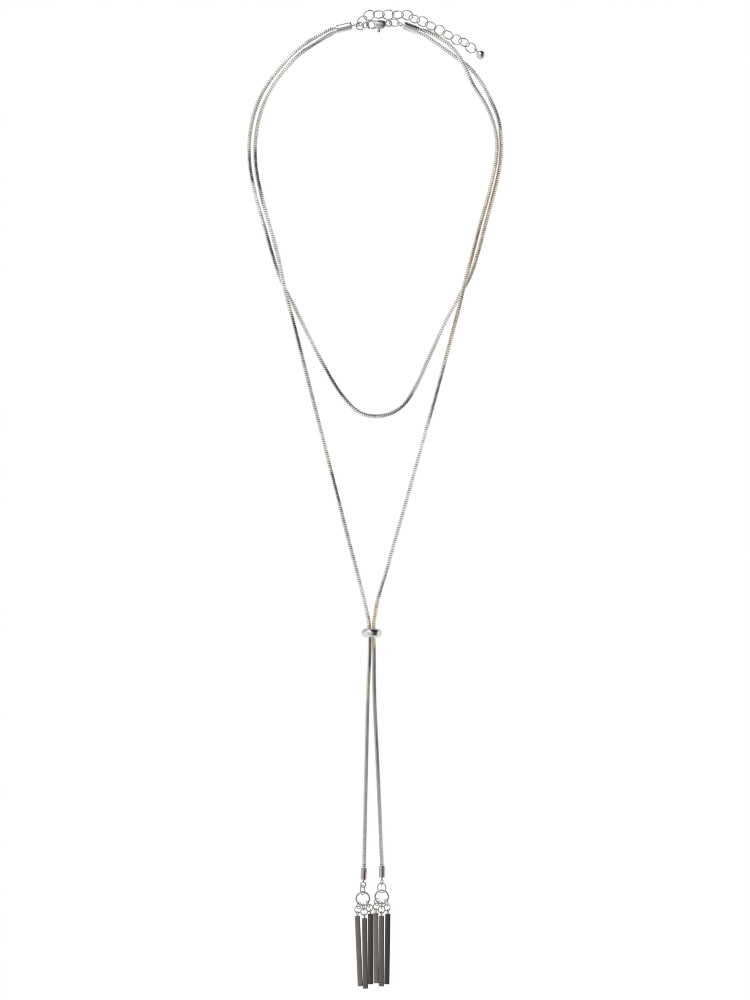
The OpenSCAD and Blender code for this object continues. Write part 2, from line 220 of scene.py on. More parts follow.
class SharedEffects:
    """Shader groups that several finishes use, each with Vector and Scale inputs."""

    def __init__(self) -> None:
        """Builds each group once."""
        self.hairlines = self._hairlines()
        self.handling = self._handling()
        self.brushing = self._brushing()

    @staticmethod
    def _group(name: str, scale: float, *outputs: str) -> tuple[Tree, Node, Node]:
        """Starts a group with a default scale and named outputs."""
        return new_group(name, [("Vector", "NodeSocketVector", (0, 0, 0)),
                                ("Scale", "NodeSocketFloat", scale)], outputs)

    @staticmethod
    def _noise(tree: Tree, source: Node, detail: float, roughness: float = 0.5,
               stretch: Point | None = None, turn: Point = (0, 0, 0)) -> Socket:
        """Adds noise at the group's own place and scale.

        Args:
            tree: Tree of the group.
            source: Its input node.
            detail: Detail of the noise.
            roughness: Roughness of the noise.
            stretch: Scale along each axis, or None for even noise.
            turn: Turn of the stretched noise, in radians.

        Returns:
            The noise as a number.
        """
        noise = add_node(tree, "ShaderNodeTexNoise")
        noise.inputs["Detail"].default_value = detail
        noise.inputs["Roughness"].default_value = roughness
        place = source.outputs["Vector"]
        if stretch:
            mapping = add_node(tree, "ShaderNodeMapping")
            mapping.inputs["Rotation"].default_value = turn
            mapping.inputs["Scale"].default_value = stretch
            link(tree, place, mapping.inputs["Vector"])
            place = mapping.outputs[0]
        link(tree, place, noise.inputs["Vector"])
        link(tree, source.outputs["Scale"], noise.inputs["Scale"])
        return noise.outputs["Fac"]

    def _hairlines(self) -> Tree:
        """Fine polishing lines that run in many directions.

        Returns:
            A group with a Lines output.
        """
        tree, source, sink = self._group("polishing_hairlines", 900.0, "Lines")
        turns = (0.3, 1.4, 2.5)
        total: float | Socket = 0.0
        for turn in turns:
            layer = self._noise(tree, source, 3.0, stretch=(1.0, 0.05, 1.0),
                                turn=(turn * 0.7, turn * 1.3, turn))
            total = math_node(tree, "ADD", total, layer)
        link(tree, math_node(tree, "MULTIPLY", total, 1 / len(turns)), sink.inputs["Lines"])
        return tree

    def _handling(self) -> Tree:
        """Faint cloudy film left by handling, and the brighter rubbed spots in it.

        Returns:
            A group with Film and Rubbed outputs.
        """
        tree, source, sink = self._group("handling_film", 220.0, "Film", "Rubbed")
        noise = self._noise(tree, source, 4.0, roughness=0.62)
        film = map_range(tree, noise, smooth=True, from_min=0.38, from_max=0.72)
        link(tree, film, sink.inputs["Film"])
        link(tree, math_node(tree, "SUBTRACT", 1.0, film), sink.inputs["Rubbed"])
        return tree

    def _brushing(self) -> Tree:
        """Straight brush lines along Y, as a satin bar has them.

        Returns:
            A group with Streak and Grain outputs.
        """
        tree, source, sink = self._group("lengthwise_brushing", 2600.0, "Streak", "Grain")
        for label, along, detail in (("Streak", 0.006, 2.0), ("Grain", 0.03, 5.0)):
            layer = self._noise(tree, source, detail, stretch=(1.0, along, 1.0))
            link(tree, layer, sink.inputs[label])
        return tree


class MetalGraph:
    """Node graph of one metal in the making."""

    RELIEF_DEPTH = 0.02 * MM

    def __init__(self, name: str) -> None:
        """Starts plain metal that reads object coordinates.

        Args:
            name: Name of the material.
        """
        self.material = bpy.data.materials.new(name)
        self.material.use_nodes = True
        self.tree = self.material.node_tree
        self.shader = self.tree.nodes["Principled BSDF"]
        self.shader.inputs["Metallic"].default_value = 1.0
        self.place = add_node(self.tree, "ShaderNodeTexCoord").outputs["Object"]

    def effect(self, group: Tree, scale: float | None = None) -> Node:
        """Adds a shared effect.

        Args:
            group: Group of the effect.
            scale: Its scale here, or None for the group's own.

        Returns:
            The group's node.
        """
        node = add_node(self.tree, "ShaderNodeGroup", node_tree=group)
        link(self.tree, self.place, node.inputs["Vector"])
        if scale is not None:
            node.inputs["Scale"].default_value = scale
        return node

    def attribute(self, name: str) -> Socket:
        """Returns the number that the mesh holds under a name."""
        return add_node(self.tree, "ShaderNodeAttribute", attribute_name=name).outputs["Fac"]

    def math(self, operation: str, *inputs: object) -> Socket:
        """Adds a Math node and returns its value."""
        return math_node(self.tree, operation, *inputs)

    def blend(self, first: Socket, share: float, second: Socket) -> Socket:
        """Returns a share of one number and the rest of another."""
        return self.math("MULTIPLY_ADD", first, share, self.math("MULTIPLY", second, 1.0 - share))

    def mix(self, low: Socket | Colour, high: Socket | Colour, share: Socket, clamp: bool = True) -> Socket:
        """Mixes two colours."""
        return mix_colours(self.tree, low, high, share, clamp)

    def surface(self, colour: Socket, mask: Socket, rough_low: float, rough_high: float) -> None:
        """Sets the colour, and the roughness between two values.

        Args:
            colour: Colour of the metal.
            mask: Where between the two values the roughness lies.
            rough_low: Roughness where the mask is 0.
            rough_high: Roughness where the mask is 1.
        """
        rough = map_range(self.tree, mask, to_min=rough_low, to_max=rough_high)
        link(self.tree, colour, self.shader.inputs["Base Color"])
        link(self.tree, rough, self.shader.inputs["Roughness"])

    def relief(self, height: Socket, strength: float) -> None:
        """Adds a shallow bump.

        Args:
            height: Height of the bump.
            strength: How much of it shows.
        """
        bump = add_node(self.tree, "ShaderNodeBump")
        bump.inputs["Strength"].default_value = strength
        bump.inputs["Distance"].default_value = self.RELIEF_DEPTH
        link(self.tree, height, bump.inputs["Height"])
        link(self.tree, bump.outputs["Normal"], self.shader.inputs["Normal"])


@dataclass(frozen=True)
class PolishedFinish:
    """Bright plated metal with hairlines and a faint film."""

    name: str
    bright: Colour = (0.80, 0.80, 0.79)
    dull: Colour = (0.68, 0.68, 0.67)
    rough_low: float = 0.06
    rough_high: float = 0.16
    hairline_scale: float = 900.0
    film_scale: float = 220.0
    film_share: float = 0.55
    bump: float = 0.02

    def build(self, effects: SharedEffects) -> Material:
        """Builds the material.

        Args:
            effects: Shared shader groups.

        Returns:
            The finished material.
        """
        metal = MetalGraph(self.name)
        film = metal.effect(effects.handling, self.film_scale).outputs["Film"]
        lines = metal.effect(effects.hairlines, self.hairline_scale).outputs["Lines"]
        metal.surface(metal.mix(self.bright, self.dull, film), metal.blend(film, self.film_share, lines),
                      self.rough_low, self.rough_high)
        metal.relief(lines, self.bump)
        return metal.material


@dataclass(frozen=True)
class ChainFinish:
    """Plated snake chain whose links differ a little in tone and gloss."""

    name: str = "rhodium_snake_chain"
    bright: Colour = (1.0, 0.995, 0.98)
    dull: Colour = (0.90, 0.895, 0.88)
    # Colours of a painted warm reflection and of painted shade where the metal would reflect darker
    # surroundings
    warm: Colour = (0.95, 0.865, 0.74)
    painted_shade: Colour = (0.42, 0.415, 0.40)
    # Colour of the painted shade in the gaps between the links
    groove: Colour = (0.25, 0.25, 0.245)
    rough_low: float = 0.285
    rough_high: float = 0.34
    film_scale: float = 480.0
    tone_share: float = 0.6

    def build(self, effects: SharedEffects) -> Material:
        """Builds the material, which reads the strand's link_tone and groove attributes and its attribute
        for painted reflection.

        Above zero that attribute tints the metal warm, a painted reflection of warm surroundings, and below
        zero it darkens the metal, painted shade where it would reflect darker surroundings. The groove
        attribute darkens the gaps between the links with painted shade.

        Args:
            effects: Shared shader groups.

        Returns:
            The finished material.
        """
        metal = MetalGraph(self.name)
        film = metal.effect(effects.handling, self.film_scale).outputs["Film"]
        mask = metal.blend(metal.attribute("link_tone"), self.tone_share, film)
        painted_reflection = metal.attribute("painted_reflection")
        # The attribute for painted reflection: above zero a warm tint, below zero painted shade
        shade_share = metal.math("MAXIMUM", metal.math("MULTIPLY", painted_reflection, -1.0), 0.0)
        colour = metal.mix(self.bright, self.dull, mask)
        colour = metal.mix(colour, self.warm, metal.math("MAXIMUM", painted_reflection, 0.0), clamp=False)
        colour = metal.mix(colour, self.painted_shade, shade_share)
        # Painted shade in the gaps between the links
        colour = metal.mix(colour, self.groove, metal.attribute("groove"))
        metal.surface(colour, mask, self.rough_low, self.rough_high)
        return metal.material


@dataclass(frozen=True)
class BrushedFinish:
    """Dark satin metal brushed along Y, rubbed brighter where hands and cloth touch it."""

    name: str = "gunmetal_satin"
    dark: Colour = (0.075, 0.069, 0.064)
    light: Colour = (0.36, 0.335, 0.315)
    rough_low: float = 0.30
    rough_high: float = 0.46
    film_scale: float = 160.0
    streaks: float = 0.5
    rubbing: float = 0.12
    darkening: float = 0.3
    bump: float = 0.25

    def build(self, effects: SharedEffects) -> Material:
        """Builds the material, which reads the bar's attribute for painted sheen, how much lighter each bar
        is painted for the light it catches.

        Args:
            effects: Shared shader groups.

        Returns:
            The finished material.
        """
        metal = MetalGraph(self.name)
        brush = metal.effect(effects.brushing)
        grain = brush.outputs["Grain"]
        rubbed = metal.effect(effects.handling, self.film_scale).outputs["Rubbed"]
        marks = metal.math("MULTIPLY_ADD", brush.outputs["Streak"], self.streaks,
                           metal.math("MULTIPLY", rubbed, self.rubbing))
        # The bar's painted sheen lightens or darkens each bar as a whole
        mask = metal.math("ADD", metal.math("SUBTRACT", marks, self.darkening), metal.attribute("bar_painted_sheen"))
        metal.surface(metal.mix(self.dark, self.light, mask), grain, self.rough_low, self.rough_high)
        metal.relief(grain, self.bump)
        return metal.material


# Mesh helpers

def on_circle(radius: float, degrees: float) -> Vector:
    """Returns the point at that angle on a circle about the origin of the XY plane."""
    angle = math.radians(degrees)
    return Vector((radius * math.cos(angle), radius * math.sin(angle), 0.0))


def smooth_path(points: list[Row], step: float) -> list[Row]:
    """Runs a centripetal Catmull-Rom curve through rows of numbers.

    The first three numbers of a row are its place, and the rest follow along.

    Args:
        points: Rows to pass through.
        step: Distance between the new rows, about.

    Returns:
        Rows along the curve, the first and last as given.
    """
    rows = [points[0], *points, points[-1]]
    out: list[Row] = []
    for a, b, c, d in zip(rows, rows[1:], rows[2:], rows[3:]):
        knots = [0.0]
        for p, q in ((a, b), (b, c), (c, d)):
            knots.append(knots[-1] + max(1e-9, (Vector(q[:3]) - Vector(p[:3])).length) ** 0.5)
        if a == b:
            knots[1:] = [k + 1.0 for k in knots[1:]]
            knots[0] = knots[1] - (knots[2] - knots[1])
        if c == d:
            knots[3] = knots[2] + (knots[2] - knots[1])
        count = max(2, round((Vector(c[:3]) - Vector(b[:3])).length / step))
        for i in range(count):
            t = knots[1] + (knots[2] - knots[1]) * i / count
            out.append(tuple(blend_four(t, knots, values) for values in zip(a, b, c, d)))
    out.append(points[-1])
    return out


def blend_four(t: float, knots: list[float], v: Row) -> float:
    """Evaluates one Catmull-Rom span with its own knots.

    Args:
        t: Knot value between the second and third knot.
        knots: Four growing knot values.
        v: The four values at those knots.

    Returns:
        The value of the curve at t.
    """
    def mix(p: float, q: float, s: float, e: float) -> float:
        """Mixes p at s with q at e."""
        return (e - t) / (e - s) * p + (t - s) / (e - s) * q
    k = knots
    first = [mix(v[i], v[i + 1], k[i], k[i + 1]) for i in range(3)]
    second = [mix(first[i], first[i + 1], k[i], k[i + 2]) for i in range(2)]
    return mix(second[0], second[1], k[1], k[2])


def clamped(value: float) -> float:
    """Returns a number held between 0 and 1."""
    return min(1.0, max(0.0, value))


def level_ring(radius: float, z: float, sides: int) -> list[Vector]:
    """Returns points round the Z axis at one height."""
    return [Vector((radius * math.cos(a), radius * math.sin(a), z))
            for a in (2 * math.pi * k / sides for k in range(sides))]


@dataclass
class Shell:
    """Vertices and faces of a piece in the making, in millimetres."""

    vertices: list[Vector] = field(default_factory=list)
    faces: list[tuple[int, ...]] = field(default_factory=list)

    def rings(self, rings: list[list[Vector]], closed: bool = False, place: Matrix | None = None) -> None:
        """Adds a skin over rings of equally many points.

        Args:
            rings: Rings in order, each going the same way round.
            closed: Whether the last ring joins the first, as round a torus.
            place: Where the form goes, or None to leave it where it is.
        """
        start, sides = len(self.vertices), len(rings[0])
        self.vertices += [place @ v if place else v.copy() for ring in rings for v in ring]
        for i in range(len(rings) if closed else len(rings) - 1):
            a, b = start + i * sides, start + (i + 1) % len(rings) * sides
            for k in range(sides):
                n = (k + 1) % sides
                self.faces.append((a + k, a + n, b + n, b + k))
        if not closed:
            last = start + (len(rings) - 1) * sides
            self.faces.append(tuple(start + k for k in range(sides - 1, -1, -1)))
            self.faces.append(tuple(last + k for k in range(sides)))

    def lathe(self, profile: list[tuple[float, float]], sides: int, place: Matrix,
              closed: bool = False) -> None:
        """Adds a turned form about the Z axis.

        Args:
            profile: Height and radius of each turn, from one end to the other.
            sides: Steps round the axis.
            place: Where the form goes.
            closed: Whether the profile's end joins its start, as round a bore.
        """
        self.rings([level_ring(radius, z, sides) for z, radius in profile], closed, place)

    def torus(self, outer: float, wire: float, place: Matrix, steps: int = 64, sides: int = 16) -> None:
        """Adds a soldered round loop lying in its own XY plane.

        Args:
            outer: Outer diameter.
            wire: Wire diameter.
            place: Where the loop goes.
            steps: Steps round the loop.
            sides: Sides of the wire.
        """
        middle = (outer - wire) / 2
        section = [(middle + wire / 2 * math.cos(a), Vector((0, 0, wire / 2 * math.sin(a))))
                   for a in (2 * math.pi * k / sides for k in range(sides))]
        outs = [on_circle(1.0, 360 * i / steps) for i in range(steps)]
        self.rings([[out * reach + rise for reach, rise in section] for out in outs], True, place)


def finish_mesh(mesh: bpy.types.Mesh, sharp: float) -> None:
    """Turns the faces outwards and shades them smooth between sharp edges.

    Args:
        mesh: Mesh to finish.
        sharp: Angle in degrees from which an edge is sharp.
    """
    work = bmesh.new()
    work.from_mesh(mesh)
    bmesh.ops.remove_doubles(work, verts=work.verts, dist=1e-7)
    bmesh.ops.recalc_face_normals(work, faces=work.faces)
    work.to_mesh(mesh)
    work.free()
    shade(mesh, sharp)


def shade(mesh: bpy.types.Mesh, sharp: float) -> None:
    """Shades a mesh smooth but for edges of at least that angle in degrees."""
    mesh.shade_smooth()
    mesh.set_sharp_from_angle(angle=math.radians(sharp))


def add_object(name: str, mesh: bpy.types.Mesh) -> Object:
    """Puts a mesh into the scene.

    Args:
        name: Name of the object.
        mesh: Its mesh.

    Returns:
        The object, at the origin.
    """
    made = bpy.data.objects.new(name, mesh)
    bpy.context.scene.collection.objects.link(made)
    return made


def new_piece(name: str, shell: Shell, material: Material | None, sharp: float = SHARP) -> Object:
    """Makes an object from a shell.

    Args:
        name: Name of the piece.
        shell: Its forms in millimetres.
        material: Its finish, or None for a form that is copied by a tree.
        sharp: Angle in degrees from which an edge is sharp.

    Returns:
        The object, at the origin, in metres.
    """
    mesh = bpy.data.meshes.new(name)
    mesh.from_pydata([v * MM for v in shell.vertices], [], shell.faces)
    if material:
        mesh.materials.append(material)
    finish_mesh(mesh, sharp)
    return add_object(name, mesh)


def store_floats(mesh: bpy.types.Mesh, name: str, values: list[float]) -> None:
    """Stores a number for each point of a mesh under a name."""
    layer = mesh.attributes.new(name, "FLOAT", "POINT")
    layer.data.foreach_set("value", values)


def declare(piece: Object, body: Body, slot: Slot, *nodes: str) -> None:
    """Tells the frame what a piece rides on and stands for.

    Args:
        piece: The finished piece.
        body: Body that it moves with.
        slot: Material slot of the record; not used.
        nodes: CAD nodes that it replaces.
    """
    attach(piece, body.value)
    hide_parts(*nodes)
    LOG.info("%s: %d faces, for %s", piece.name, len(piece.data.polygons), ", ".join(nodes))


def ring_place(x: float, y: float, z: float, heading: float, roll: float) -> Matrix:
    """Returns the placement of a ring that is rolled about X and then headed about Z."""
    turn = Euler((math.radians(roll), 0.0, math.radians(heading)), "XYZ").to_matrix().to_4x4()
    return Matrix.Translation((x, y, z)) @ turn


def along_x(x: float, y: float, z: float, heading: float) -> Matrix:
    """Returns the placement that lays a form turned about Z along a heading in the XY plane."""
    turn = Matrix.Rotation(math.radians(heading), 4, "Z") @ Matrix.Rotation(math.radians(90), 4, "Y")
    return Matrix.Translation((x, y, z)) @ turn


def heading_of(dx: float, dy: float) -> float:
    """Returns the heading in degrees of a step in the XY plane."""
    return math.degrees(math.atan2(dy, dx))


# Geometry Nodes

class NodeTool:
    """Builds a Geometry Nodes tree and runs it on an object."""

    def __init__(self, name: str, inputs: list[tuple[str, str, object]]) -> None:
        """Makes the tree with a geometry input, the named inputs and a geometry output.

        Args:
            name: Name of the tree.
            inputs: Name, socket type and default value of each input after the geometry.
        """
        self.tree = bpy.data.node_groups.new(name, "GeometryNodeTree")
        face = self.tree.interface
        face.new_socket("Geometry", in_out="INPUT", socket_type="NodeSocketGeometry")
        self.ids: dict[str, str] = {}
        for label, kind, value in inputs:
            socket = face.new_socket(label, in_out="INPUT", socket_type=kind)
            if value is not None:
                socket.default_value = value
            self.ids[label] = socket.identifier
        face.new_socket("Geometry", in_out="OUTPUT", socket_type="NodeSocketGeometry")
        self.source = self.tree.nodes.new("NodeGroupInput")
        self.sink = self.tree.nodes.new("NodeGroupOutput")

    def node(self, kind: str, inputs: dict[str | int, object], **values: object) -> Node:
        """Adds a node.

        Args:
            kind: Blender's name of the node type.
            inputs: Sockets to join or values to set, by the input's name or number.
            values: Properties of the node.

        Returns:
            The new node.
        """
        made = add_node(self.tree, kind, **values)
        for key, value in inputs.items():
            feed(self.tree, value, made.inputs[key])
        return made

    def given(self, label: str) -> Socket:
        """Returns the socket of a named input inside the tree."""
        return self.source.outputs[label]

    def attribute(self, name: str, kind: str = "FLOAT") -> Socket:
        """Returns the value of a named attribute as a field."""
        node = self.node("GeometryNodeInputNamedAttribute", {"Name": name}, data_type=kind)
        return node.outputs["Attribute"]

    def chance(self, **ends: Socket) -> Socket:
        """Adds a random number drawn from the Seed input.

        Args:
            ends: Sockets for its low and high end, else 0 and 1.

        Returns:
            The number as a field.
        """
        places = {"low": 2, "high": 3}
        inputs = {"Seed": self.given("Seed"), **{places[name]: end for name, end in ends.items()}}
        return self.node("FunctionNodeRandomValue", inputs, data_type="FLOAT").outputs[1]

    def spun(self, rotation: Socket, angle: Socket) -> Socket:
        """Adds a turn about the rotation's own Z axis.

        Args:
            rotation: Rotation to turn on.
            angle: Turn in radians.

        Returns:
            The new rotation.
        """
        spin = self.node("ShaderNodeCombineXYZ", {"Z": angle})
        turned = self.node("FunctionNodeRotateRotation",
                           {"Rotation": rotation, "Rotate By": spin.outputs[0]}, rotation_space="LOCAL")
        return turned.outputs[0]

    def close(self, instances: Socket) -> None:
        """Ends the tree with one mesh that has the Material input's finish.

        Args:
            instances: What becomes the mesh.
        """
        real = self.node("GeometryNodeRealizeInstances", {"Geometry": instances})
        dressed = self.node("GeometryNodeSetMaterial",
                            {"Geometry": real.outputs[0], "Material": self.given("Material")})
        link(self.tree, dressed.outputs[0], self.sink.inputs[0])

    def run(self, name: str, carrier: Object, values: dict[str, object]) -> Object:
        """Runs the tree on a carrier and keeps its result as a plain mesh.

        Args:
            name: Name of the piece.
            carrier: Object whose mesh the tree starts from, removed afterwards.
            values: Values of the tree's inputs by name.

        Returns:
            The new piece, with no modifier.
        """
        modifier = carrier.modifiers.new("build", "NODES")
        modifier.node_group = self.tree
        for label, value in values.items():
            modifier[self.ids[label]] = value
        bpy.context.view_layer.update()
        graph = bpy.context.evaluated_depsgraph_get()
        mesh = bpy.data.meshes.new_from_object(
            carrier.evaluated_get(graph), preserve_all_data_layers=True, depsgraph=graph)
        mesh.name = name
        bpy.data.objects.remove(carrier)
        return add_object(name, mesh)


def carrier_mesh(name: str, points: list[Point], edges: list[tuple[int, int]],
                 floats: dict[str, list[float]], vectors: dict[str, list[Point]] | None = None) -> Object:
    """Makes a mesh of bare points that carries numbers for a tree.

    Args:
        name: Name of the object.
        points: Points in millimetres.
        edges: Edges between them.
        floats: Number for each point, by attribute name.
        vectors: Vector for each point, by attribute name.

    Returns:
        The object.
    """
    mesh = bpy.data.meshes.new(name)
    mesh.from_pydata([tuple(c * MM for c in point) for point in points], edges, [])
    for label, values in floats.items():
        store_floats(mesh, label, values)
    for label, rows in (vectors or {}).items():
        layer = mesh.attributes.new(label, "FLOAT_VECTOR", "POINT")
        for item, row in zip(layer.data, rows):
            item.vector = row
    return add_object(name, mesh)


# Chain

@dataclass
class SnakeLink:
    """One link of square snake chain: a raised band over the core, staggered from face to face."""

    side: float = 1.36
    pitch: float = 0.97
    slat: float = 0.60
    wave: float = 0.05
    corner: float = 0.08
    lap: float = 0.01
    # How far in from the side the band's top, its edge, the gap between bands and the core lie
    top: float = 0.01
    edge: float = 0.08
    gap: float = 0.25
    core: float = 0.5
    # The painted shade in the groove starts at the edge's depth and is full this much deeper
    shade_over: float = 0.12
    clearance: float = 0.002

    def outline(self) -> list[Point]:
        """Works out the band's outline.

        Returns:
            Points as x, y and lift along the chain, anticlockwise.
        """
        half = self.side / 2
        flat = half - self.corner
        points = []
        for turn in range(4):
            lift = self.wave if turn % 2 == 0 else -self.wave
            for x, y in ((half, -flat), (half, flat)):
                v = Matrix.Rotation(math.radians(90 * turn), 2) @ Vector((x, y))
                points.append((v.x, v.y, lift))
        return points

    def rest_height(self, turn: float) -> float:
        """Works out how high the chain's centre lies on the table.

        Args:
            turn: The chain's turn about its own length in degrees.

        Returns:
            Height in millimetres.
        """
        angle = math.radians(turn % 90)
        half = self.side / 2
        flat = half - self.corner
        reach = max(half * math.cos(angle) + flat * math.sin(angle),
                    flat * math.cos(angle) + half * math.sin(angle))
        return reach + self.clearance

    def build(self) -> Object:
        """Builds the link about the origin, along Z.

        Returns:
            An object to copy along the strands.
        """
        half, end = self.slat / 2, self.pitch / 2 + self.lap
        rows = ((-end, self.gap), (-half, self.edge), (-half * 0.75, self.top), (half * 0.75, self.top),
                (half, self.edge), (end, self.gap), (0.0, self.core))
        rings = []
        for z, inset in rows:
            shrink = 1.0 - inset / (self.side / 2)
            rings.append([Vector((x * shrink, y * shrink, z + lift)) for x, y, lift in self.outline()])
        shell = Shell()
        shell.rings(rings, closed=True)
        made = new_piece("snake_link", shell, None, SHARP_LINK)
        # Paints shade into the gaps between bands, full deep in a gap
        edge = self.side / 2 - self.edge
        outs = [max(abs(v.co.x), abs(v.co.y)) / MM for v in made.data.vertices]
        store_floats(made.data, "groove", [clamped((edge - out) / self.shade_over) for out in outs])
        return made


class SnakeTool(NodeTool):
    """Tree that strings links along a path with twist and squeeze attributes."""

    def __init__(self) -> None:
        """Builds the tree."""
        super().__init__("snake_chain", [
            ("Link", "NodeSocketObject", None), ("Pitch", "NodeSocketFloat", 0.97 * MM),
            ("Turn Jitter", "NodeSocketFloat", 0.03), ("Seed", "NodeSocketInt", 1),
            ("Material", "NodeSocketMaterial", None)])
        curve = self.node("GeometryNodeMeshToCurve", {"Mesh": self.given("Geometry")})
        upright = self.node("GeometryNodeSetCurveNormal", {"Curve": curve.outputs[0]}, mode="Z_UP")
        tilted = self.node("GeometryNodeSetCurveTilt",
                           {"Curve": upright.outputs[0], "Tilt": self.attribute("twist")})
        points = self.node("GeometryNodeCurveToPoints",
                           {"Curve": tilted.outputs[0], "Length": self.given("Pitch")}, mode="LENGTH")
        jitter = self.given("Turn Jitter")
        back = math_node(self.tree, "MULTIPLY", jitter, -1.0)
        turned = self.spun(points.outputs["Rotation"], self.chance(low=back, high=jitter))
        info = self.node("GeometryNodeObjectInfo", {"Object": self.given("Link")})
        strung = self.node("GeometryNodeInstanceOnPoints", {
            "Points": points.outputs["Points"], "Instance": info.outputs["Geometry"],
            "Rotation": turned, "Scale": self.attribute("squeeze")})
        stored = self.node("GeometryNodeStoreNamedAttribute", {
            "Geometry": strung.outputs[0], "Name": "link_tone", "Value": self.chance()},
            data_type="FLOAT", domain="INSTANCE")
        self.close(stored.outputs[0])


@dataclass
class Cap:
    """A cap that holds chain ends: its mouth, its loop as x, y and roll, and its axis' height.

    The axis has the given bearing in degrees, or else it runs straight to the loop.
    """

    x: float
    y: float
    loop: Point
    height: float
    bearing: float | None = None

    @property
    def heading(self) -> float:
        """Works out the heading of the axis, from the mouth inwards.

        Returns:
            Heading in degrees.
        """
        if self.bearing is None:
            return heading_of(self.loop[0] - self.x, self.loop[1] - self.y)
        return self.bearing

    def point(self, depth: float, beside: float = 0.0) -> Point:
        """Returns a point in from the mouth and beside the axis."""
        at = Vector((self.x, self.y, self.height)) + on_circle(depth, self.heading)
        return tuple(at + on_circle(beside, self.heading + 90))

    def build(self, name: str, node: str, profile: list[tuple[float, float]], sides: int, neck: float,
              loop: tuple[float, float], material: Material) -> None:
        """Turns the cap and adds its neck and its loop.

        Args:
            name: Name of the piece.
            node: CAD node that it replaces.
            profile: Depth and radius of each turn, from the bore's end to the shoulder.
            sides: Steps round the axis.
            neck: Radius of the neck.
            loop: Outer diameter and wire of the loop.
            material: Finish of the cap.
        """
        outer, wire = loop
        x, y, roll = self.loop
        reach = math.hypot(x - self.x, y - self.y) - (outer - wire) / 2 + BITE
        shell = Shell()
        shell.lathe([*profile, (reach, neck), (reach, TIP)], sides,
                    along_x(self.x, self.y, self.height, self.heading))
        shell.torus(outer, wire, ring_place(x, y, self.height, self.heading, roll))
        declare(new_piece(name, shell, material, SHARP_ROUND), Body.NECKLACE, Slot.POLISHED, node)


CUP_LEFT = Cap(-16.3, 202.3, (-7.45, 204.25, 65.0), 1.8, 13.5)
CUP_RIGHT = Cap(18.8, 201.75, (10.85, 204.6, 50.0), 1.8, 159.5)
CRIMP_LEFT = Cap(-4.5, -158.4, (-4.85, -165.4, 10.0), 1.325)
CRIMP_RIGHT = Cap(3.2, -157.4, (3.2, -164.3, -65.0), 1.325)
# Height of a chain's centre where it lies on the table in the route tables
LIE = 0.93

# Free stretch of each strand as x, y and z
SHORT_ROUTE: list[Row] = [
    (-19.2, 202.35, 1.65), (-23.4, 200.25, 1.25), (-32, 194.7, LIE), (-39.4, 187.4, LIE),
    (-45.6, 179.4, LIE), (-50.1, 171.2, LIE), (-52.9, 162, LIE), (-54, 151.6, LIE),
    (-53.4, 141.6, LIE), (-51.2, 131.2, LIE), (-47.9, 119.4, LIE), (-44.3, 106.6, LIE),
    (-41.2, 97, LIE), (-38.3, 90.4, LIE), (-34.9, 83.9, LIE), (-28.6, 71, LIE),
    (-22, 58.1, LIE), (-16.3, 48.3, LIE), (-11.4, 41.8, LIE), (-7.8, 38.5, LIE),
    (-3.8, 36.5, LIE), (0.6, 36, LIE), (5, 36.6, LIE), (9.2, 38.4, LIE),
    (13.1, 41.6, LIE), (17.6, 48.6, LIE), (24.9, 64.5, LIE), (30.9, 77.4, LIE),
    (34.5, 83.9, LIE), (38, 90.3, LIE), (41.4, 97, LIE), (44.9, 107.8, LIE),
    (47.6, 118.2, LIE), (50.6, 129, LIE), (53.2, 139.4, LIE), (54.48, 148.4, LIE),
    (54.38, 156.6, LIE), (53, 164.4, LIE), (50, 172, LIE), (46.1, 179.4, LIE),
    (41.6, 185.2, LIE), (37, 189, LIE), (32.5, 192.2, LIE), (26, 196.9, 1.1), (21.7, 199.7, 1.5),
]
LONG_LEFT_ROUTE: list[Row] = [
    (-18.9, 200.2, 1.65), (-22.6, 198.15, 1.25), (-30.6, 192.9, LIE), (-37.6, 186.1, LIE),
    (-43.5, 178.3, LIE), (-47.6, 170.2, LIE), (-50.2, 161.4, LIE), (-51.4, 151.6, LIE),
    (-50.9, 141.9, LIE), (-48.8, 131.6, LIE), (-45.5, 119.6, LIE), (-42, 107, 1.25),
    (-40, 97.6, 2.7), (-38.6, 90.6, 3.05), (-36.9, 83.9, 2.5), (-34.3, 74, 1.3),
    (-31.9, 64.5, LIE), (-23.2, 30.1, LIE), (-11.2, -17.2, LIE), (-7.8, -30, 1.4),
    (-4.5, -43, 2.9), (-3.13, -49, 3.8), (-2.42, -52.6, 4.2), (-2.2, -57, 4.3),
    (-2.06, -62, 4.1), (-2.24, -70, 2.9), (-2.68, -78, 1.8), (-3, -88, LIE),
    (-3.7, -120.4, LIE), (-4.4, -152, 1),
]
LONG_RIGHT_ROUTE: list[Row] = [
    (22.4, 201.5, 1.75), (27.4, 199, 1.7), (31.7, 196.1, 2.1), (35, 192.6, 2.8),
    (37.3, 188.9, 3.05), (39.5, 184.6, 2.7), (42.4, 178.5, 1.6), (47.1, 171.2, LIE),
    (50.5, 163.8, LIE), (52.4, 156.2, LIE), (52.5, 148.4, LIE), (51.1, 139.8, LIE),
    (48.5, 129.2, LIE), (45.4, 118.6, LIE), (42.7, 108.2, 1.3), (39.9, 97.6, 2.7),
    (38, 90.3, 3.05), (36.6, 83.9, 2.5), (34.5, 75.4, 1.2), (31.6, 64.5, LIE),
    (22.2, 30.1, LIE), (13.8, 0, LIE), (8.9, -17.2, LIE), (5.2, -30, 1.4),
    (1.3, -43, 2.9), (0.3, -49, 3.8), (-0.28, -52.6, 4.2), (-0.4, -57, 4.3),
    (-0.26, -62, 4.1), (-0.22, -70, 2.9), (-0.17, -78, 1.8), (0.1, -88, LIE),
    (1.6, -120.4, LIE), (2.9, -150, 1),
]
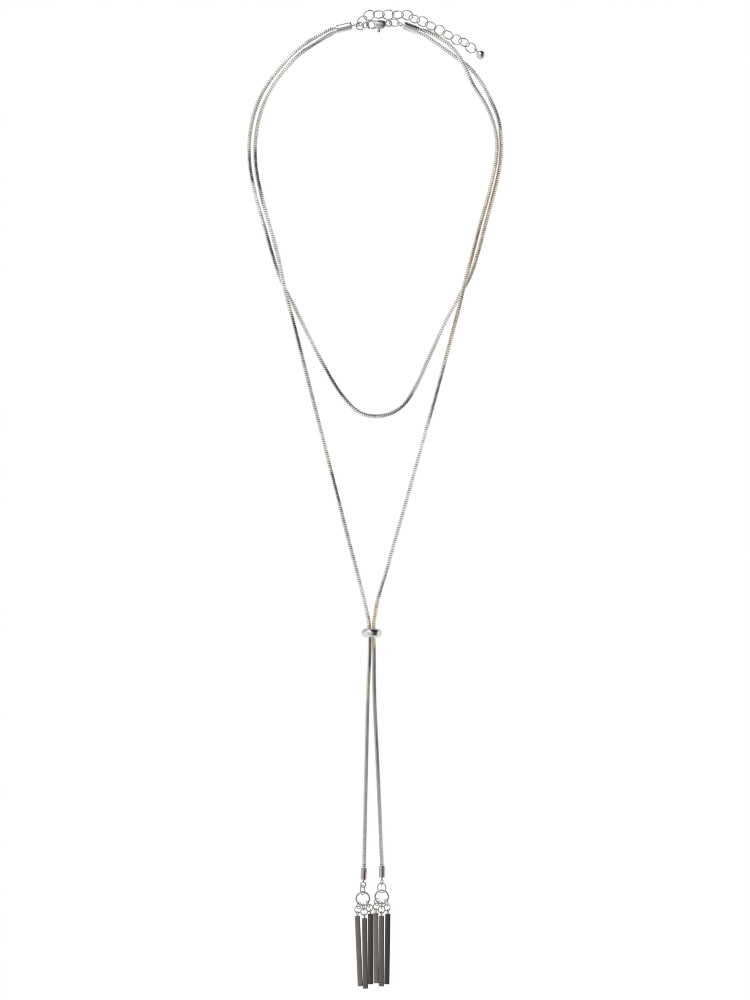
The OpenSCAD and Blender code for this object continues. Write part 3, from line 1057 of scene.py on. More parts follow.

# How each strand turns about its own length: distance along the free stretch,
# turn in degrees and painted reflection: above zero a warm reflection tinted into the metal,
# below zero painted shade where it would reflect darker surroundings
SHORT_TURNS: list[Row] = [
    (0, 40, 0), (5, 38, 0), (10, 46, 0), (15, 34, 0), (22, 27, 0), (30, 30, 0), (40, 38, 0.1),
    (46, 45, 0.2), (54, 49, 0.3), (64, 52, 0.3), (70, 65, -0.2), (79, 64, -0.15), (82, 38, 0),
    (85, 26, 0), (90, 28, 0), (97, 44, 0), (102, 59, 0), (108, 66, -0.3), (118, 64, -0.25),
    (123, 46, -0.15), (135, 41, 0.1), (150, 36, 0), (160, 42, 0), (165, 52, 0), (169, 65, -0.25),
    (178, 66, -0.35), (183, 50, 0), (190, 38, 0), (198, 44, -0.1), (204, 28, -0.4), (214, 26, -0.5),
    (220, 42, -0.3), (226, 46, -0.1), (238, 47, -0.1), (246, 56, 0), (252, 63, 0), (260, 60, 0.1),
    (266, 44, 0.6), (271, 32, 0.9), (284, 32, 0.8), (296, 36, 0.9), (308, 44, 1), (320, 46, 1),
    (328, 44, 0.7), (336, 42, 0.5), (341, 26, -0.1), (348, 29, -0.2), (354, 48, 0), (362, 54, 0.1),
    (370, 44, -0.2), (380, 54, 0), (392, 50, 0),
]
LONG_LEFT_TURNS: list[Row] = [
    (0, 46, 0), (4, 56, 0), (8, 64, -0.2), (13, 48, 0), (18, 36, 0), (24, 28, 0), (36, 28, 0),
    (43, 38, 0.1), (50, 45, 0.3), (60, 53, 0.3), (65, 65, -0.3), (78, 65, -0.3), (84, 50, 0),
    (88, 32, 0), (92, 26, 0), (98, 30, 0), (106, 42, -0.05), (120, 46, 0), (133, 47, 0.3),
    (138, 63, -0.2), (149, 64, -0.3), (155, 52, -0.3), (166, 48, -0.35), (182, 45, -0.25),
    (192, 47, 0.3), (200, 50, 0.6), (204, 55, 0.5), (208, 63, 0.1), (217, 62, 0.1), (221, 54, -0.2),
    (230, 50, -0.4), (240, 47, -0.25), (250, 44, -0.2), (262, 39, 0),
    (270, 42, 0.05), (276, 52, 0.1), (280, 64, -0.2), (291, 66, -0.4), (294, 58, 1.2), (302, 58, 0.9),
    (308, 58, -0.5), (326, 56, -0.5),
    (334, 54, -0.5), (344, 54, -0.5), (356, 52, -0.4), (371, 51, -0.4),
]
LONG_RIGHT_TURNS: list[Row] = [
    (0, 46, 0), (5, 38, 0), (9, 28, 0), (15, 26, 0), (20, 44, 0), (26, 52, 0), (31, 60, 0),
    (36, 50, 0), (44, 46, 0), (54, 45, 0.3), (62, 40, 0.7), (74, 32, 0.8), (83, 37, 0.6),
    (91, 55, 0.7), (100, 61, 1), (110, 60, 1.2), (118, 53, 0.7), (127, 58, 0.7), (134, 54, 0.9),
    (146, 49, 0.9), (154, 48, 0.5), (161, 60, 0.1), (166, 64, -0.1), (176, 62, -0.1), (183, 54, 0),
    (189, 31, 0), (196, 30, 0), (202, 43, 0), (220, 44, 0), (242, 46, 0), (251, 58, 0),
    (259, 60, 0.2), (265, 52, 1), (271, 34, 1.6), (279, 44, 1.6), (285, 61, 1.1), (290, 62, -0.3),
    (298, 59, -0.6), (312, 55, -0.5), (326, 59, -0.6), (333, 57, -0.6), (344, 53, -0.5),
    (369, 48, -0.3),
]


def follow(table: list[Row], distance: float) -> Row:
    """Reads a table of rows that start with a distance, easing between its rows.

    Args:
        table: Rows of distance and numbers, by growing distance.
        distance: Where to read.

    Returns:
        The numbers at that distance.
    """
    if distance <= table[0][0]:
        return table[0][1:]
    for low, high in zip(table, table[1:]):
        if distance <= high[0]:
            share = (distance - low[0]) / (high[0] - low[0])
            ease = share * share * (3 - 2 * share)
            return tuple(a + (b - a) * ease for a, b in zip(low[1:], high[1:]))
    return table[-1][1:]


@dataclass
class SnakeStrand:
    """One strand of snake chain from end to end.

    Past the distance flip_from its links are turned a quarter further, so that the faces
    that sit forwards and those that sit back change places.
    """

    name: str
    node: str
    start: list[Row]
    route: list[Row]
    end: list[Row]
    turns: list[Row]
    seed: int
    flip_from: float
    link: SnakeLink = field(default_factory=SnakeLink)
    step: float = 0.6
    # Scale of a link that is squeezed into a cap
    squeezed: float = 0.73
    # Height above LIE over which a strand leaves the table, and its least gap to the table
    settle: float = 0.25
    clearance: float = 0.01

    def rows(self) -> list[Row]:
        """Lists points along the whole strand.

        Returns:
            Rows of x, y, z, turn in degrees, painted reflection and squeeze.
        """
        free = ((*row, 0.0) for row in self.route)
        path = smooth_path([*self.start, *free, *self.end], self.step)
        travelled = -(Vector(self.route[0]) - Vector(self.start[0][:3])).length
        rows: list[Row] = []
        before = Vector(path[0][:3])
        for x, y, z, crush in path:
            here = Vector((x, y, z))
            travelled += (here - before).length
            before = here
            # The second number is the painted reflection: a warm tint above zero, painted shade below
            turn, painted_reflection = follow(self.turns, travelled)
            turn += 90.0 if travelled > self.flip_from else 0.0
            resting = clamped((LIE + self.settle - z) / self.settle)
            scale = 1.0 - (1.0 - self.squeezed) * clamped(crush)
            rest = self.link.rest_height(turn)
            height = max(z + resting * (rest - LIE) * (1.0 - min(1.0, crush)), rest * scale + self.clearance)
            rows.append((x, y, height, turn, painted_reflection, scale))
        return rows

    def build(self, tool: SnakeTool, proto: Object, material: Material) -> None:
        """Strings the links along the strand.

        Args:
            tool: Tree that strings them.
            proto: Link to copy.
            material: Finish of the chain.
        """
        rows = self.rows()
        edges = [(i, i + 1) for i in range(len(rows) - 1)]
        carrier = carrier_mesh(self.name + "_path", [row[:3] for row in rows], edges, {
            "twist": [math.radians(row[3]) for row in rows],
            "painted_reflection": [row[4] for row in rows],
            "squeeze": [row[5] for row in rows]})
        piece = tool.run(self.name, carrier, {
            "Link": proto, "Pitch": self.link.pitch * MM, "Seed": self.seed, "Material": material})
        declare(piece, Body.NECKLACE, Slot.CHAIN, self.node)


class SnakeChains:
    """The three strands."""

    # Distance of a chain from the axis of the cup that it shares
    BESIDE = 0.74
    # Where a chain's path passes inside a cup and inside a crimp cap, in from the mouth
    CUP_DEPTHS = (4.9, 2.4, 0.0)
    CRIMP_DEPTHS = (0.0, 1.8, 3.6)

    def __init__(self) -> None:
        """Lays out the strands from cap to cap."""
        def cup_rows(cup: Cap, beside: float) -> list[Row]:
            """Rows inside a cup, from its bottom to its mouth, where the chain is squeezed."""
            return [(*cup.point(depth, beside), 1.0) for depth in self.CUP_DEPTHS]

        def crimp_rows(crimp: Cap) -> list[Row]:
            """Rows inside a crimp cap, from its mouth inwards."""
            return [(*crimp.point(depth), 0.0) for depth in self.CRIMP_DEPTHS]

        self.strands = [
            SnakeStrand("short_chain", "short_strand", cup_rows(CUP_LEFT, self.BESIDE), SHORT_ROUTE,
                        cup_rows(CUP_RIGHT, self.BESIDE)[::-1], SHORT_TURNS, 3, 262.0),
            SnakeStrand("long_chain_left", "long_strand_left", cup_rows(CUP_LEFT, -self.BESIDE),
                        LONG_LEFT_ROUTE, crimp_rows(CRIMP_LEFT), LONG_LEFT_TURNS, 5, math.inf),
            SnakeStrand("long_chain_right", "long_strand_right", cup_rows(CUP_RIGHT, -self.BESIDE),
                        LONG_RIGHT_ROUTE, crimp_rows(CRIMP_RIGHT), LONG_RIGHT_TURNS, 8, -math.inf),
        ]

    def build(self, material: Material) -> None:
        """Builds the strands.

        Args:
            material: Finish of the chain.
        """
        proto = SnakeLink().build()
        tool = SnakeTool()
        for strand in self.strands:
            strand.build(tool, proto, material)
        bpy.data.objects.remove(proto)


# Rings

class RingTool(NodeTool):
    """Tree that bends a wire into an open ring at each point of a carrier."""

    def __init__(self) -> None:
        """Builds the tree."""
        super().__init__("jump_rings", [
            ("Ring Radius", "NodeSocketFloat", 1.5 * MM), ("Wire Radius", "NodeSocketFloat", 0.2 * MM),
            ("Split", "NodeSocketFloat", 0.05), ("Steps", "NodeSocketInt", 72),
            ("Wire Steps", "NodeSocketInt", 14), ("Material", "NodeSocketMaterial", None)])
        split = self.given("Split")
        arc = self.node("GeometryNodeCurveArc", {
            "Resolution": self.given("Steps"), "Radius": self.given("Ring Radius"),
            "Start Angle": math_node(self.tree, "MULTIPLY", split, 0.5),
            "Sweep Angle": math_node(self.tree, "SUBTRACT", 2 * math.pi, split)}, mode="RADIUS")
        wire = self.node("GeometryNodeCurvePrimitiveCircle", {
            "Resolution": self.given("Wire Steps"), "Radius": self.given("Wire Radius")}, mode="RADIUS")
        ring = self.node("GeometryNodeCurveToMesh", {
            "Curve": arc.outputs[0], "Profile Curve": wire.outputs[0], "Fill Caps": True})
        turned = self.spun(self.attribute("turn", "FLOAT_VECTOR"), self.attribute("split_at"))
        placed = self.node("GeometryNodeInstanceOnPoints", {
            "Points": self.given("Geometry"), "Instance": ring.outputs[0], "Rotation": turned})
        self.close(placed.outputs[0])


@dataclass
class RingFamily:
    """Rings of one size, each as x, y, z, heading, roll and the angle of its split."""

    name: str
    outer: float
    wire: float
    places: list[Row]
    nodes: list[str]
    split: float = 0.07

    def build(self, tool: RingTool, material: Material) -> None:
        """Builds the family as one mesh.

        Args:
            tool: Tree that bends the rings.
            material: Their finish.
        """
        middle = (self.outer - self.wire) / 2
        carrier = carrier_mesh(
            self.name + "_places", [row[:3] for row in self.places], [],
            {"split_at": [math.radians(row[5]) for row in self.places]},
            {"turn": [(math.radians(row[4]), 0.0, math.radians(row[3])) for row in self.places]})
        piece = tool.run(self.name, carrier, {
            "Ring Radius": middle * MM, "Wire Radius": self.wire / 2 * MM,
            "Split": self.split / middle, "Material": material})
        finish_mesh(piece.data, SHARP_ROUND)
        declare(piece, Body.NECKLACE, Slot.RING, *self.nodes)


@dataclass
class Extender:
    """Chain of round links that ends in a ball."""

    outer: float = 5.3
    wire: float = 0.48
    roll: float = 42.0
    first: tuple[float, float] = (-6.25, 203.7)
    links: tuple[tuple[float, float], ...] = (
        (-5.4, 206), (-2.3, 208.4), (1.8, 208.7), (5.9, 208.6), (10, 208.6), (14.1, 208.4),
        (17.1, 206.8), (20.6, 205.7), (24.2, 203.8), (27.95, 201.95), (31.6, 199.9), (35.2, 197.9),
        (38.5, 196.7), (41.4, 194.4))
    ball: tuple[float, float] = (45.7, 191.3)
    eye: tuple[float, float] = (43.55, 193.4)
    ball_r: float = 2.0
    ball_steps: int = 28
    ball_sides: int = 48
    eye_outer: float = 1.85
    eye_wire: float = 0.45
    eye_roll: float = -50.0
    # Where the first kind of link has its split, and how much further each next kind has it
    split_at: float = 78.0
    split_turn: float = 23.0
    split: float = 0.05

    def family(self) -> RingFamily:
        """Lays out the links, rolled to one side and the other in turn.

        Returns:
            The links as a family of rings.
        """
        path = [self.first, *self.links, self.eye]
        middle = (self.outer - self.wire) / 2
        height = middle * math.sin(math.radians(self.roll)) + self.wire / 2
        places = []
        for i, (x, y) in enumerate(self.links, start=1):
            ahead, behind = path[i + 1], path[i - 1]
            heading = heading_of(ahead[0] - behind[0], ahead[1] - behind[1])
            roll = -self.roll if i % 2 else self.roll
            places.append((x, y, height, heading, roll, self.split_at + self.split_turn * (i % 3)))
        nodes = [f"extender_link_{i}" for i in range(1, len(self.links) + 1)]
        return RingFamily("extender_links", self.outer, self.wire, places, nodes, self.split)

    def build_ball(self, material: Material) -> None:
        """Builds the ball with its collar and loop.

        Args:
            material: Finish of the ball.
        """
        r = self.ball_r
        centre, eye = Vector((*self.ball, r)), Vector((*self.eye, r))
        back = eye - centre
        heading = heading_of(back.x, back.y)
        angles = [math.pi * i / self.ball_steps for i in range(self.ball_steps)]
        profile = [(-r * math.cos(a), max(TIP, r * math.sin(a))) for a in angles]
        rim = r - 0.14
        reach = back.length - (self.eye_outer - self.eye_wire) / 2 + BITE
        collar = [(rim, 0.62), (rim + 0.05, 0.60), (rim + 0.12, 0.46), (rim + 0.2, 0.36),
                  (reach, 0.33), (reach, TIP)]
        shell = Shell()
        shell.lathe([p for p in profile if p[0] < rim] + collar, self.ball_sides,
                    along_x(*centre, heading))
        shell.torus(self.eye_outer, self.eye_wire, ring_place(*eye, heading + 180, self.eye_roll), 48, 14)
        piece = new_piece("extender_ball", shell, material, SHARP_ROUND)
        declare(piece, Body.NECKLACE, Slot.POLISHED, "end_ball")


@dataclass
class TasselBar:
    """One bar and its two small rings.

    Its top, the x of its bottom, its side as 0 or 1, the place on its gathering ring
    where it hangs in degrees, its small rings as reach, roll and lift, and its painted sheen,
    how much lighter the bar is painted for the light its roll catches.
    """

    top: tuple[float, float]
    bottom_x: float
    side: int
    hang: float
    upper: Point
    lower: Point
    # Painted sheen: how much lighter the bar is painted for the light it catches
    tone: float


@dataclass
class Tassels:
    """Rings and bars of both tassels."""

    join_outer: float = 4.7
    join_wire: float = 0.55
    big_outer: float = 6.45
    big_wire: float = 0.73
    small_outer: float = 3.4
    small_wire: float = 0.45
    width: float = 2.0
    corner: float = 0.24
    broaden: float = 1.12
    length: float = 30.2
    eye_outer: float = 2.0
    stem: float = 0.3
    # Where the first bar's small rings have their split, and how much further each next bar's
    split_at: float = 95.0
    split_turn: float = 47.0
    joins: tuple[Row, ...] = ((-5.1, -167.6, 2.15, 96, 64, 20), (3.1, -166.8, 1.35, 88, -30, 160))
    gathers: tuple[Row, ...] = ((-5.05, -171.4, 1.75, 90, 5, 172), (3.1, -170.7, 1.35, 90, 5, 8))
    bars: tuple[TasselBar, ...] = (
        TasselBar((-7.4, -178.9), -6.1, 0, 237, (0.55, 55, 0.1), (1.6, -20, 0.3), 0.85),
        TasselBar((-4.3, -179.9), -3.85, 0, 274, (0.75, 75, 0), (1.6, -10, 0.6), 0.5),
        TasselBar((-1.75, -178), -1.65, 0, 316, (0.4, 70, 0.05), (1.35, -20, 0.3), 0.18),
        TasselBar((0.55, -177.6), 0.75, 1, 224, (0.15, 50, 0.05), (1.55, -30, 0.05), 0.9),
        TasselBar((3, -178.9), 2.95, 1, 271, (0.6, 85, 0), (1.6, -15, 0.45), 0.6),
        TasselBar((5.75, -178), 5.3, 1, 312, (0.35, 60, 0), (1.6, -35, 0.05), 0.08),
    )

    def heading(self, bar: TasselBar) -> float:
        """Returns the heading of a bar from its top to its bottom."""
        return heading_of(bar.bottom_x - bar.top[0], -self.length)

    def small_places(self) -> tuple[list[Row], list[Row]]:
        """Places the small rings between the gathering rings and the bars.

        Returns:
            The upper rings and the lower rings, each in the order of the bars.
        """
        middle = (self.small_outer - self.small_wire) / 2
        uppers, lowers = [], []
        for number, bar in enumerate(self.bars):
            x, y, *_ = self.gathers[bar.side]
            hang = Vector((x, y, 0)) + on_circle((self.big_outer - self.big_wire) / 2, bar.hang)
            eye = Vector((*bar.top, 0)) - on_circle(self.stem + self.eye_outer / 2 - BITE, self.heading(bar))
            way = (eye - hang).normalized()
            heading = heading_of(way.x, way.y)
            rows = (bar.upper, ((eye - hang).length - bar.lower[0], *bar.lower[1:]))
            for target, (reach, roll, lift) in zip((uppers, lowers), rows):
                at = hang + reach * way
                height = middle * abs(math.sin(math.radians(roll))) + self.small_wire / 2 + lift
                split_at = self.split_at + self.split_turn * number
                target.append((at.x, at.y, height, heading, roll, split_at))
        return uppers, lowers

    def families(self) -> list[RingFamily]:
        """Lists the tassels' rings.

        Returns:
            The joining, gathering, upper and lower rings.
        """
        uppers, lowers = self.small_places()
        count = range(1, len(self.bars) + 1)
        return [
            RingFamily("join_rings", self.join_outer, self.join_wire, list(self.joins),
                       ["join_ring_left", "join_ring_right"]),
            RingFamily("gather_rings", self.big_outer, self.big_wire, list(self.gathers),
                       ["gather_ring_left", "gather_ring_right"]),
            RingFamily("upper_rings", self.small_outer, self.small_wire, uppers,
                       [f"upper_ring_{i}" for i in count]),
            RingFamily("lower_rings", self.small_outer, self.small_wire, lowers,
                       [f"lower_ring_{i}" for i in count]),
        ]

    def build_bars(self, material: Material) -> None:
        """Builds the bars with softened edges and slightly crowned ends.

        Args:
            material: Finish of the bars.
        """
        half = self.width / 2
        inner = half - self.corner
        section = []
        for turn in range(4):
            centre = Matrix.Rotation(math.radians(90 * turn), 2) @ Vector((inner, inner))
            for step in range(5):
                angle = math.radians(90 * turn + 22.5 * step)
                section.append((centre.x + self.corner * math.cos(angle),
                                (centre.y + self.corner * math.sin(angle)) * self.broaden))
        stations = [(0.0, 0.9), (0.04, 0.96), (0.1, 0.99), (0.2, 1.0)]
        stations += [(self.length - depth, scale) for depth, scale in reversed(stations)]
        rings = [[Vector((x * scale, y * scale, depth)) for x, y in section]
                 for depth, scale in stations]
        for number, bar in enumerate(self.bars, start=1):
            shell = Shell()
            shell.rings(rings, place=along_x(*bar.top, half, self.heading(bar)))
            piece = new_piece(f"tassel_bar_{number}", shell, material, SHARP_BEVEL)
            # Painted sheen for the whole bar
            store_floats(piece.data, "bar_painted_sheen", [bar.tone] * len(piece.data.vertices))
            declare(piece, Body.NECKLACE, Slot.DARK, f"bar_{number}")


# Caps, slider and clasp

@dataclass
class CrimpCaps:
    """Crimp caps of the long strands, with a rolled mouth, a groove and a loop."""

    radius: float = 1.325
    bore: float = 1.025
    bore_end: float = 3.8
    length: float = 5.0
    neck: float = 0.33
    loop: tuple[float, float] = (2.75, 0.5)
    sides: int = 48

    def build(self, left: Material, right: Material) -> None:
        """Builds both caps.

        Args:
            left: Finish of the left cap, tinted rosy by a painted reflection.
            right: Finish of the right cap, darkened by a painted dark reflection.
            right: Finish of the right cap.
        """
        r, bore, end, top = self.radius, self.bore, self.bore_end, self.length
        profile = [
            (end, TIP), (end, bore), (0.1, bore), (0.0, bore + 0.06), (0.0, r - 0.14), (0.04, r - 0.05),
            (0.12, r), (0.16, r), (0.46, r), (0.5, r), (0.58, r - 0.06), (0.6, r - 0.06),
            (0.68, r - 0.06), (0.7, r - 0.06), (0.78, r - 0.01), (0.84, r - 0.01),
            (top - 0.62, r - 0.01), (top - 0.55, r - 0.01), (top - 0.3, r - 0.06),
            (top - 0.12, r - 0.2), (top - 0.02, r - 0.42), (top, r - 0.6), (top + 0.02, 0.38),
        ]
        for side, cap, material in (("left", CRIMP_LEFT, left), ("right", CRIMP_RIGHT, right)):
            cap.build(f"crimp_cup_{side}", f"crimp_cap_{side}", profile, self.sides, self.neck,
                      self.loop, material)


@dataclass
class ClaspCups:
    """The two cups that take the chain ends at the clasp."""

    radius: float = 1.8
    bore: float = 1.525
    bore_end: float = 5.2
    length: float = 6.8
    neck: float = 0.31
    loop: tuple[float, float] = (2.7, 0.55)
    sides: int = 64

    def build(self, material: Material) -> None:
        """Builds both cups.

        Args:
            material: Finish of the cups.
        """
        r, bore, end, top = self.radius, self.bore, self.bore_end, self.length
        profile = [
            (end, TIP), (end, bore), (0.1, bore), (0.0, bore + 0.05), (0.0, r - 0.12), (0.04, r - 0.04),
            (0.12, r), (0.17, r), (0.57, r), (0.62, r), (0.7, r - 0.05), (0.72, r - 0.05),
            (0.78, r - 0.05), (0.8, r - 0.05), (0.88, r), (0.95, r), (top - 0.7, r), (top - 0.62, r),
            (top - 0.4, r - 0.04), (top - 0.2, r - 0.15), (top - 0.06, r - 0.32), (top, r - 0.52),
            (top + 0.01, 0.5), (top + 0.08, 0.36),
        ]
        for side, cap in (("left", CUP_LEFT), ("right", CUP_RIGHT)):
            cap.build(f"clasp_cup_{side}", f"end_cap_{side}", profile, self.sides, self.neck,
                      self.loop, material)


@dataclass
class SliderBead:
    """Polished rondelle that stands on its edge around both long strands."""

    at: tuple[float, float] = (-1.3, -57.0)
    outer: float = 9.1
    width: float = 3.9
    bore: float = 4.3
    steps: int = 32
    sides: int = 96

    def build(self, material: Material) -> None:
        """Builds the bead.

        Args:
            material: Finish of the bead.
        """
        half, lip = self.width / 2, self.bore / 2
        middle = self.outer / 2 - half
        angles = [math.radians(-90 + 180 * i / self.steps) for i in range(self.steps + 1)]
        crown = [(half * math.sin(a), middle + half * math.cos(a)) for a in angles]
        edge = [(half, lip + 0.25), (half - 0.03, lip + 0.1), (half - 0.12, lip)]
        profile = [(-z, radius) for z, radius in reversed(edge)] + crown + edge
        shell = Shell()
        turn = Matrix.Translation((*self.at, self.outer / 2)) @ Matrix.Rotation(math.radians(90), 4, "X")
        shell.lathe(profile, self.sides, turn, closed=True)
        piece = new_piece("slider_rondelle", shell, material, SHARP_BEVEL)
        declare(piece, Body.NECKLACE, Slot.POLISHED, "slider_bead")


@dataclass
class LobsterClasp:
    """Cast lobster clasp and its sprung lever, about the rivet.

    Rows of casing, gate and tab are x, y, heading, half width and half height.
    """

    rivet: Point = (2.6, 204.0, 1.4)
    sides: int = 28
    casing_step: float = 0.16
    lever_step: float = 0.14
    casing: tuple[Row, ...] = (
        (2.62, 0.63, 180, 0.02, 0.02), (2.55, 0.62, 180, 0.30, 0.30), (2.42, 0.6, 180, 0.75, 0.62),
        (2.1, 0.55, 180, 1.2, 0.98), (1.5, 0.48, 180, 1.66, 1.24), (0.7, 0.45, 180, 1.88, 1.36),
        (-0.1, 0.45, 180, 1.92, 1.38), (-0.9, 0.47, 178, 1.9, 1.36), (-1.55, 0.52, 176, 1.84, 1.28),
        (-2.0, 0.7, 168, 1.62, 1.14), (-2.3, 1.05, 155, 1.2, 0.94), (-2.6, 1.5, 150, 0.8, 0.72),
        (-3.1, 1.86, 163, 0.52, 0.52), (-3.7, 1.98, 176, 0.43, 0.43),
    )
    # Bend of the hook: its centre, radius, end angle, and half width at its start and its growth
    hook_at: tuple[float, float] = (-4.2, 0.4)
    hook_r: float = 1.6
    hook_end: int = 247
    hook_half: float = 0.43
    hook_swell: float = 0.09
    # Nose of the hook as degrees past its end and half width
    nose: tuple[tuple[float, float], ...] = ((3, 0.52), (9, 0.5), (14, 0.47), (16.2, 0.38), (17.2, 0.02))
    eye_at: tuple[float, float] = (3.45, 0.95)
    eye_outer: float = 3.2
    eye_wire: float = 0.7
    # Upper half of the rivet as height and radius
    rivet_end: tuple[tuple[float, float], ...] = (
        (1.2, 0.375), (1.2, 0.5), (1.28, 0.5), (1.36, 0.42), (1.4, 0.3), (1.4, TIP))
    rivet_sides: int = 40
    slot: tuple[tuple[float, float], ...] = (
        (-3.2, -3), (1.4, -3), (1.4, 0.7), (0.9, 1.1), (-1.2, 1.1), (-2.4, 0.9), (-3.2, 0.62))
    slot_half: float = 0.65
    gate: tuple[Row, ...] = (
        (-0.2, -0.1, 196, 0.4, 0.4), (-1.1, -0.42, 195, 0.56, 0.45), (-2.2, -0.78, 194, 0.58, 0.45),
        (-3.2, -1.02, 194, 0.54, 0.44), (-3.85, -1.15, 194, 0.48, 0.42), (-4.07, -1.19, 195, 0.38, 0.34),
        (-4.17, -1.2, 197, 0.02, 0.02),
    )
    tab: tuple[Row, ...] = (
        (-0.1, -0.3, 250, 0.4, 0.4), (-0.32, -0.9, 250, 0.44, 0.4), (-0.6, -1.7, 250, 0.54, 0.38),
        (-0.82, -2.3, 250, 0.64, 0.42), (-0.98, -2.72, 250, 0.56, 0.38), (-1.03, -2.88, 250, 0.34, 0.22),
        (-1.04, -2.94, 250, 0.02, 0.02),
    )
    gate_flat: float = 0.8
    tab_flat: float = 0.55
    hub_r: float = 1.0
    hub_half: float = 0.5
    hub_bore: float = 0.455
    hub_sides: int = 48

    def section(self, row: Row, flat: float = 1.0) -> list[Vector]:
        """Makes the oval of one row.

        Args:
            row: Its x, y, heading, half width and half height.
            flat: Below 1 for flatter sides.

        Returns:
            Points round the oval.
        """
        x, y, heading, wide, high = row
        side = on_circle(1.0, heading + 90)
        ring = []
        for k in range(self.sides):
            a = 2 * math.pi * k / self.sides
            across = math.copysign(abs(math.cos(a)) ** flat, math.cos(a))
            up = math.copysign(abs(math.sin(a)) ** flat, math.sin(a))
            ring.append(Vector((x, y, 0)) + side * (wide * across) + Vector((0, 0, high * up)))
        return ring

    def build_body(self, material: Material) -> None:
        """Builds casing, arm, hook, eye and rivet, with the slot cut by a boolean.

        Args:
            material: Finish of the clasp.
        """
        place = Matrix.Translation(self.rivet)
        rows = list(self.casing)
        bend = [(angle, self.hook_half + self.hook_swell * min(1.0, (angle - 90) / 90))
                for angle in range(90, self.hook_end, 8)]
        for angle, half in [*bend, *((self.hook_end + past, half) for past, half in self.nose)]:
            at = Vector((*self.hook_at, 0)) + on_circle(self.hook_r, angle)
            rows.append((at.x, at.y, angle + 90.0, half, half))
        shell = Shell()
        shell.rings([self.section(row) for row in smooth_path(rows, self.casing_step)], place=place)
        body = new_piece("lobster_casing", shell, material, SHARP_ROUND)
        self.cut_slot(body)
        ends = Shell()
        ends.torus(self.eye_outer, self.eye_wire, place @ Matrix.Translation((*self.eye_at, 0)))
        lower_end = [(-z, radius) for z, radius in reversed(self.rivet_end)]
        ends.lathe([*lower_end, *self.rivet_end], self.rivet_sides, place)
        join_meshes(body, new_piece("lobster_eye", ends, material, SHARP_ROUND))
        declare(body, Body.NECKLACE, Slot.POLISHED, "clasp_body")

    def cut_slot(self, body: Object) -> None:
        """Cuts the slot that the lever turns in.

        Args:
            body: The casing as one closed mesh.
        """
        x, y, z = self.rivet
        box = Shell()
        box.rings([[Vector((x + a, y + b, z + depth)) for a, b in self.slot]
                   for depth in (-self.slot_half, self.slot_half)])
        cutter = new_piece("slot_cutter", box, body.data.materials[0])
        modifier = body.modifiers.new("slot", "BOOLEAN")
        modifier.operation = "DIFFERENCE"
        modifier.object = cutter
        modifier.solver = "EXACT"
        graph = bpy.context.evaluated_depsgraph_get()
        cut = bpy.data.meshes.new_from_object(body.evaluated_get(graph), depsgraph=graph)
        body.modifiers.remove(modifier)
        body.data = cut
        bpy.data.objects.remove(cutter)
        shade(cut, SHARP_ROUND)

    def build_lever(self, material: Material) -> None:
        """Builds the gate, hub and thumb tab.

        Args:
            material: Finish of the lever.
        """
        place = Matrix.Translation(self.rivet)
        shell = Shell()
        for rows, flat in ((self.gate, self.gate_flat), (self.tab, self.tab_flat)):
            path = smooth_path(list(rows), self.lever_step)
            shell.rings([self.section(row, flat) for row in path], place=place)
        r, half = self.hub_r, self.hub_half
        rim = [(half - 0.1, r), (half - 0.03, r - 0.03), (half, r - 0.1), (half, self.hub_bore)]
        shell.lathe([(-z, radius) for z, radius in reversed(rim)] + rim, self.hub_sides, place,
                    closed=True)
        piece = new_piece("lobster_lever", shell, material, SHARP_ROUND)
        declare(piece, Body.LEVER, Slot.POLISHED, "clasp_lever")


def join_meshes(target: Object, extra: Object) -> None:
    """Adds one object's faces to another's mesh and removes the first.

    Args:
        target: Object that grows.
        extra: Object that is used up.
    """
    work = bmesh.new()
    work.from_mesh(target.data)
    work.from_mesh(extra.data)
    work.to_mesh(target.data)
    work.free()
    bpy.data.objects.remove(extra)


# Studio

@dataclass(frozen=True)
class Card:
    """A soft light or dark card around the table, in degrees as seen from the necklace."""

    azimuth: float
    from_zenith: float
    wide: float
    high: float
    colour: Colour
    soft: float = 0.25

    def axes(self) -> tuple[Vector, Vector, Vector]:
        """Works out where the card hangs.

        Returns:
            Its direction, and its level and rising edge directions scaled to its size.
        """
        turn, fall = math.radians(self.azimuth), math.radians(self.from_zenith)
        aim = Vector((math.sin(fall) * math.cos(turn), math.sin(fall) * math.sin(turn), math.cos(fall)))
        level = Vector((-math.sin(turn), math.cos(turn), 0.0))
        rise = aim.cross(level)
        return aim, level / math.sin(math.radians(self.wide)), rise / math.sin(math.radians(self.high))


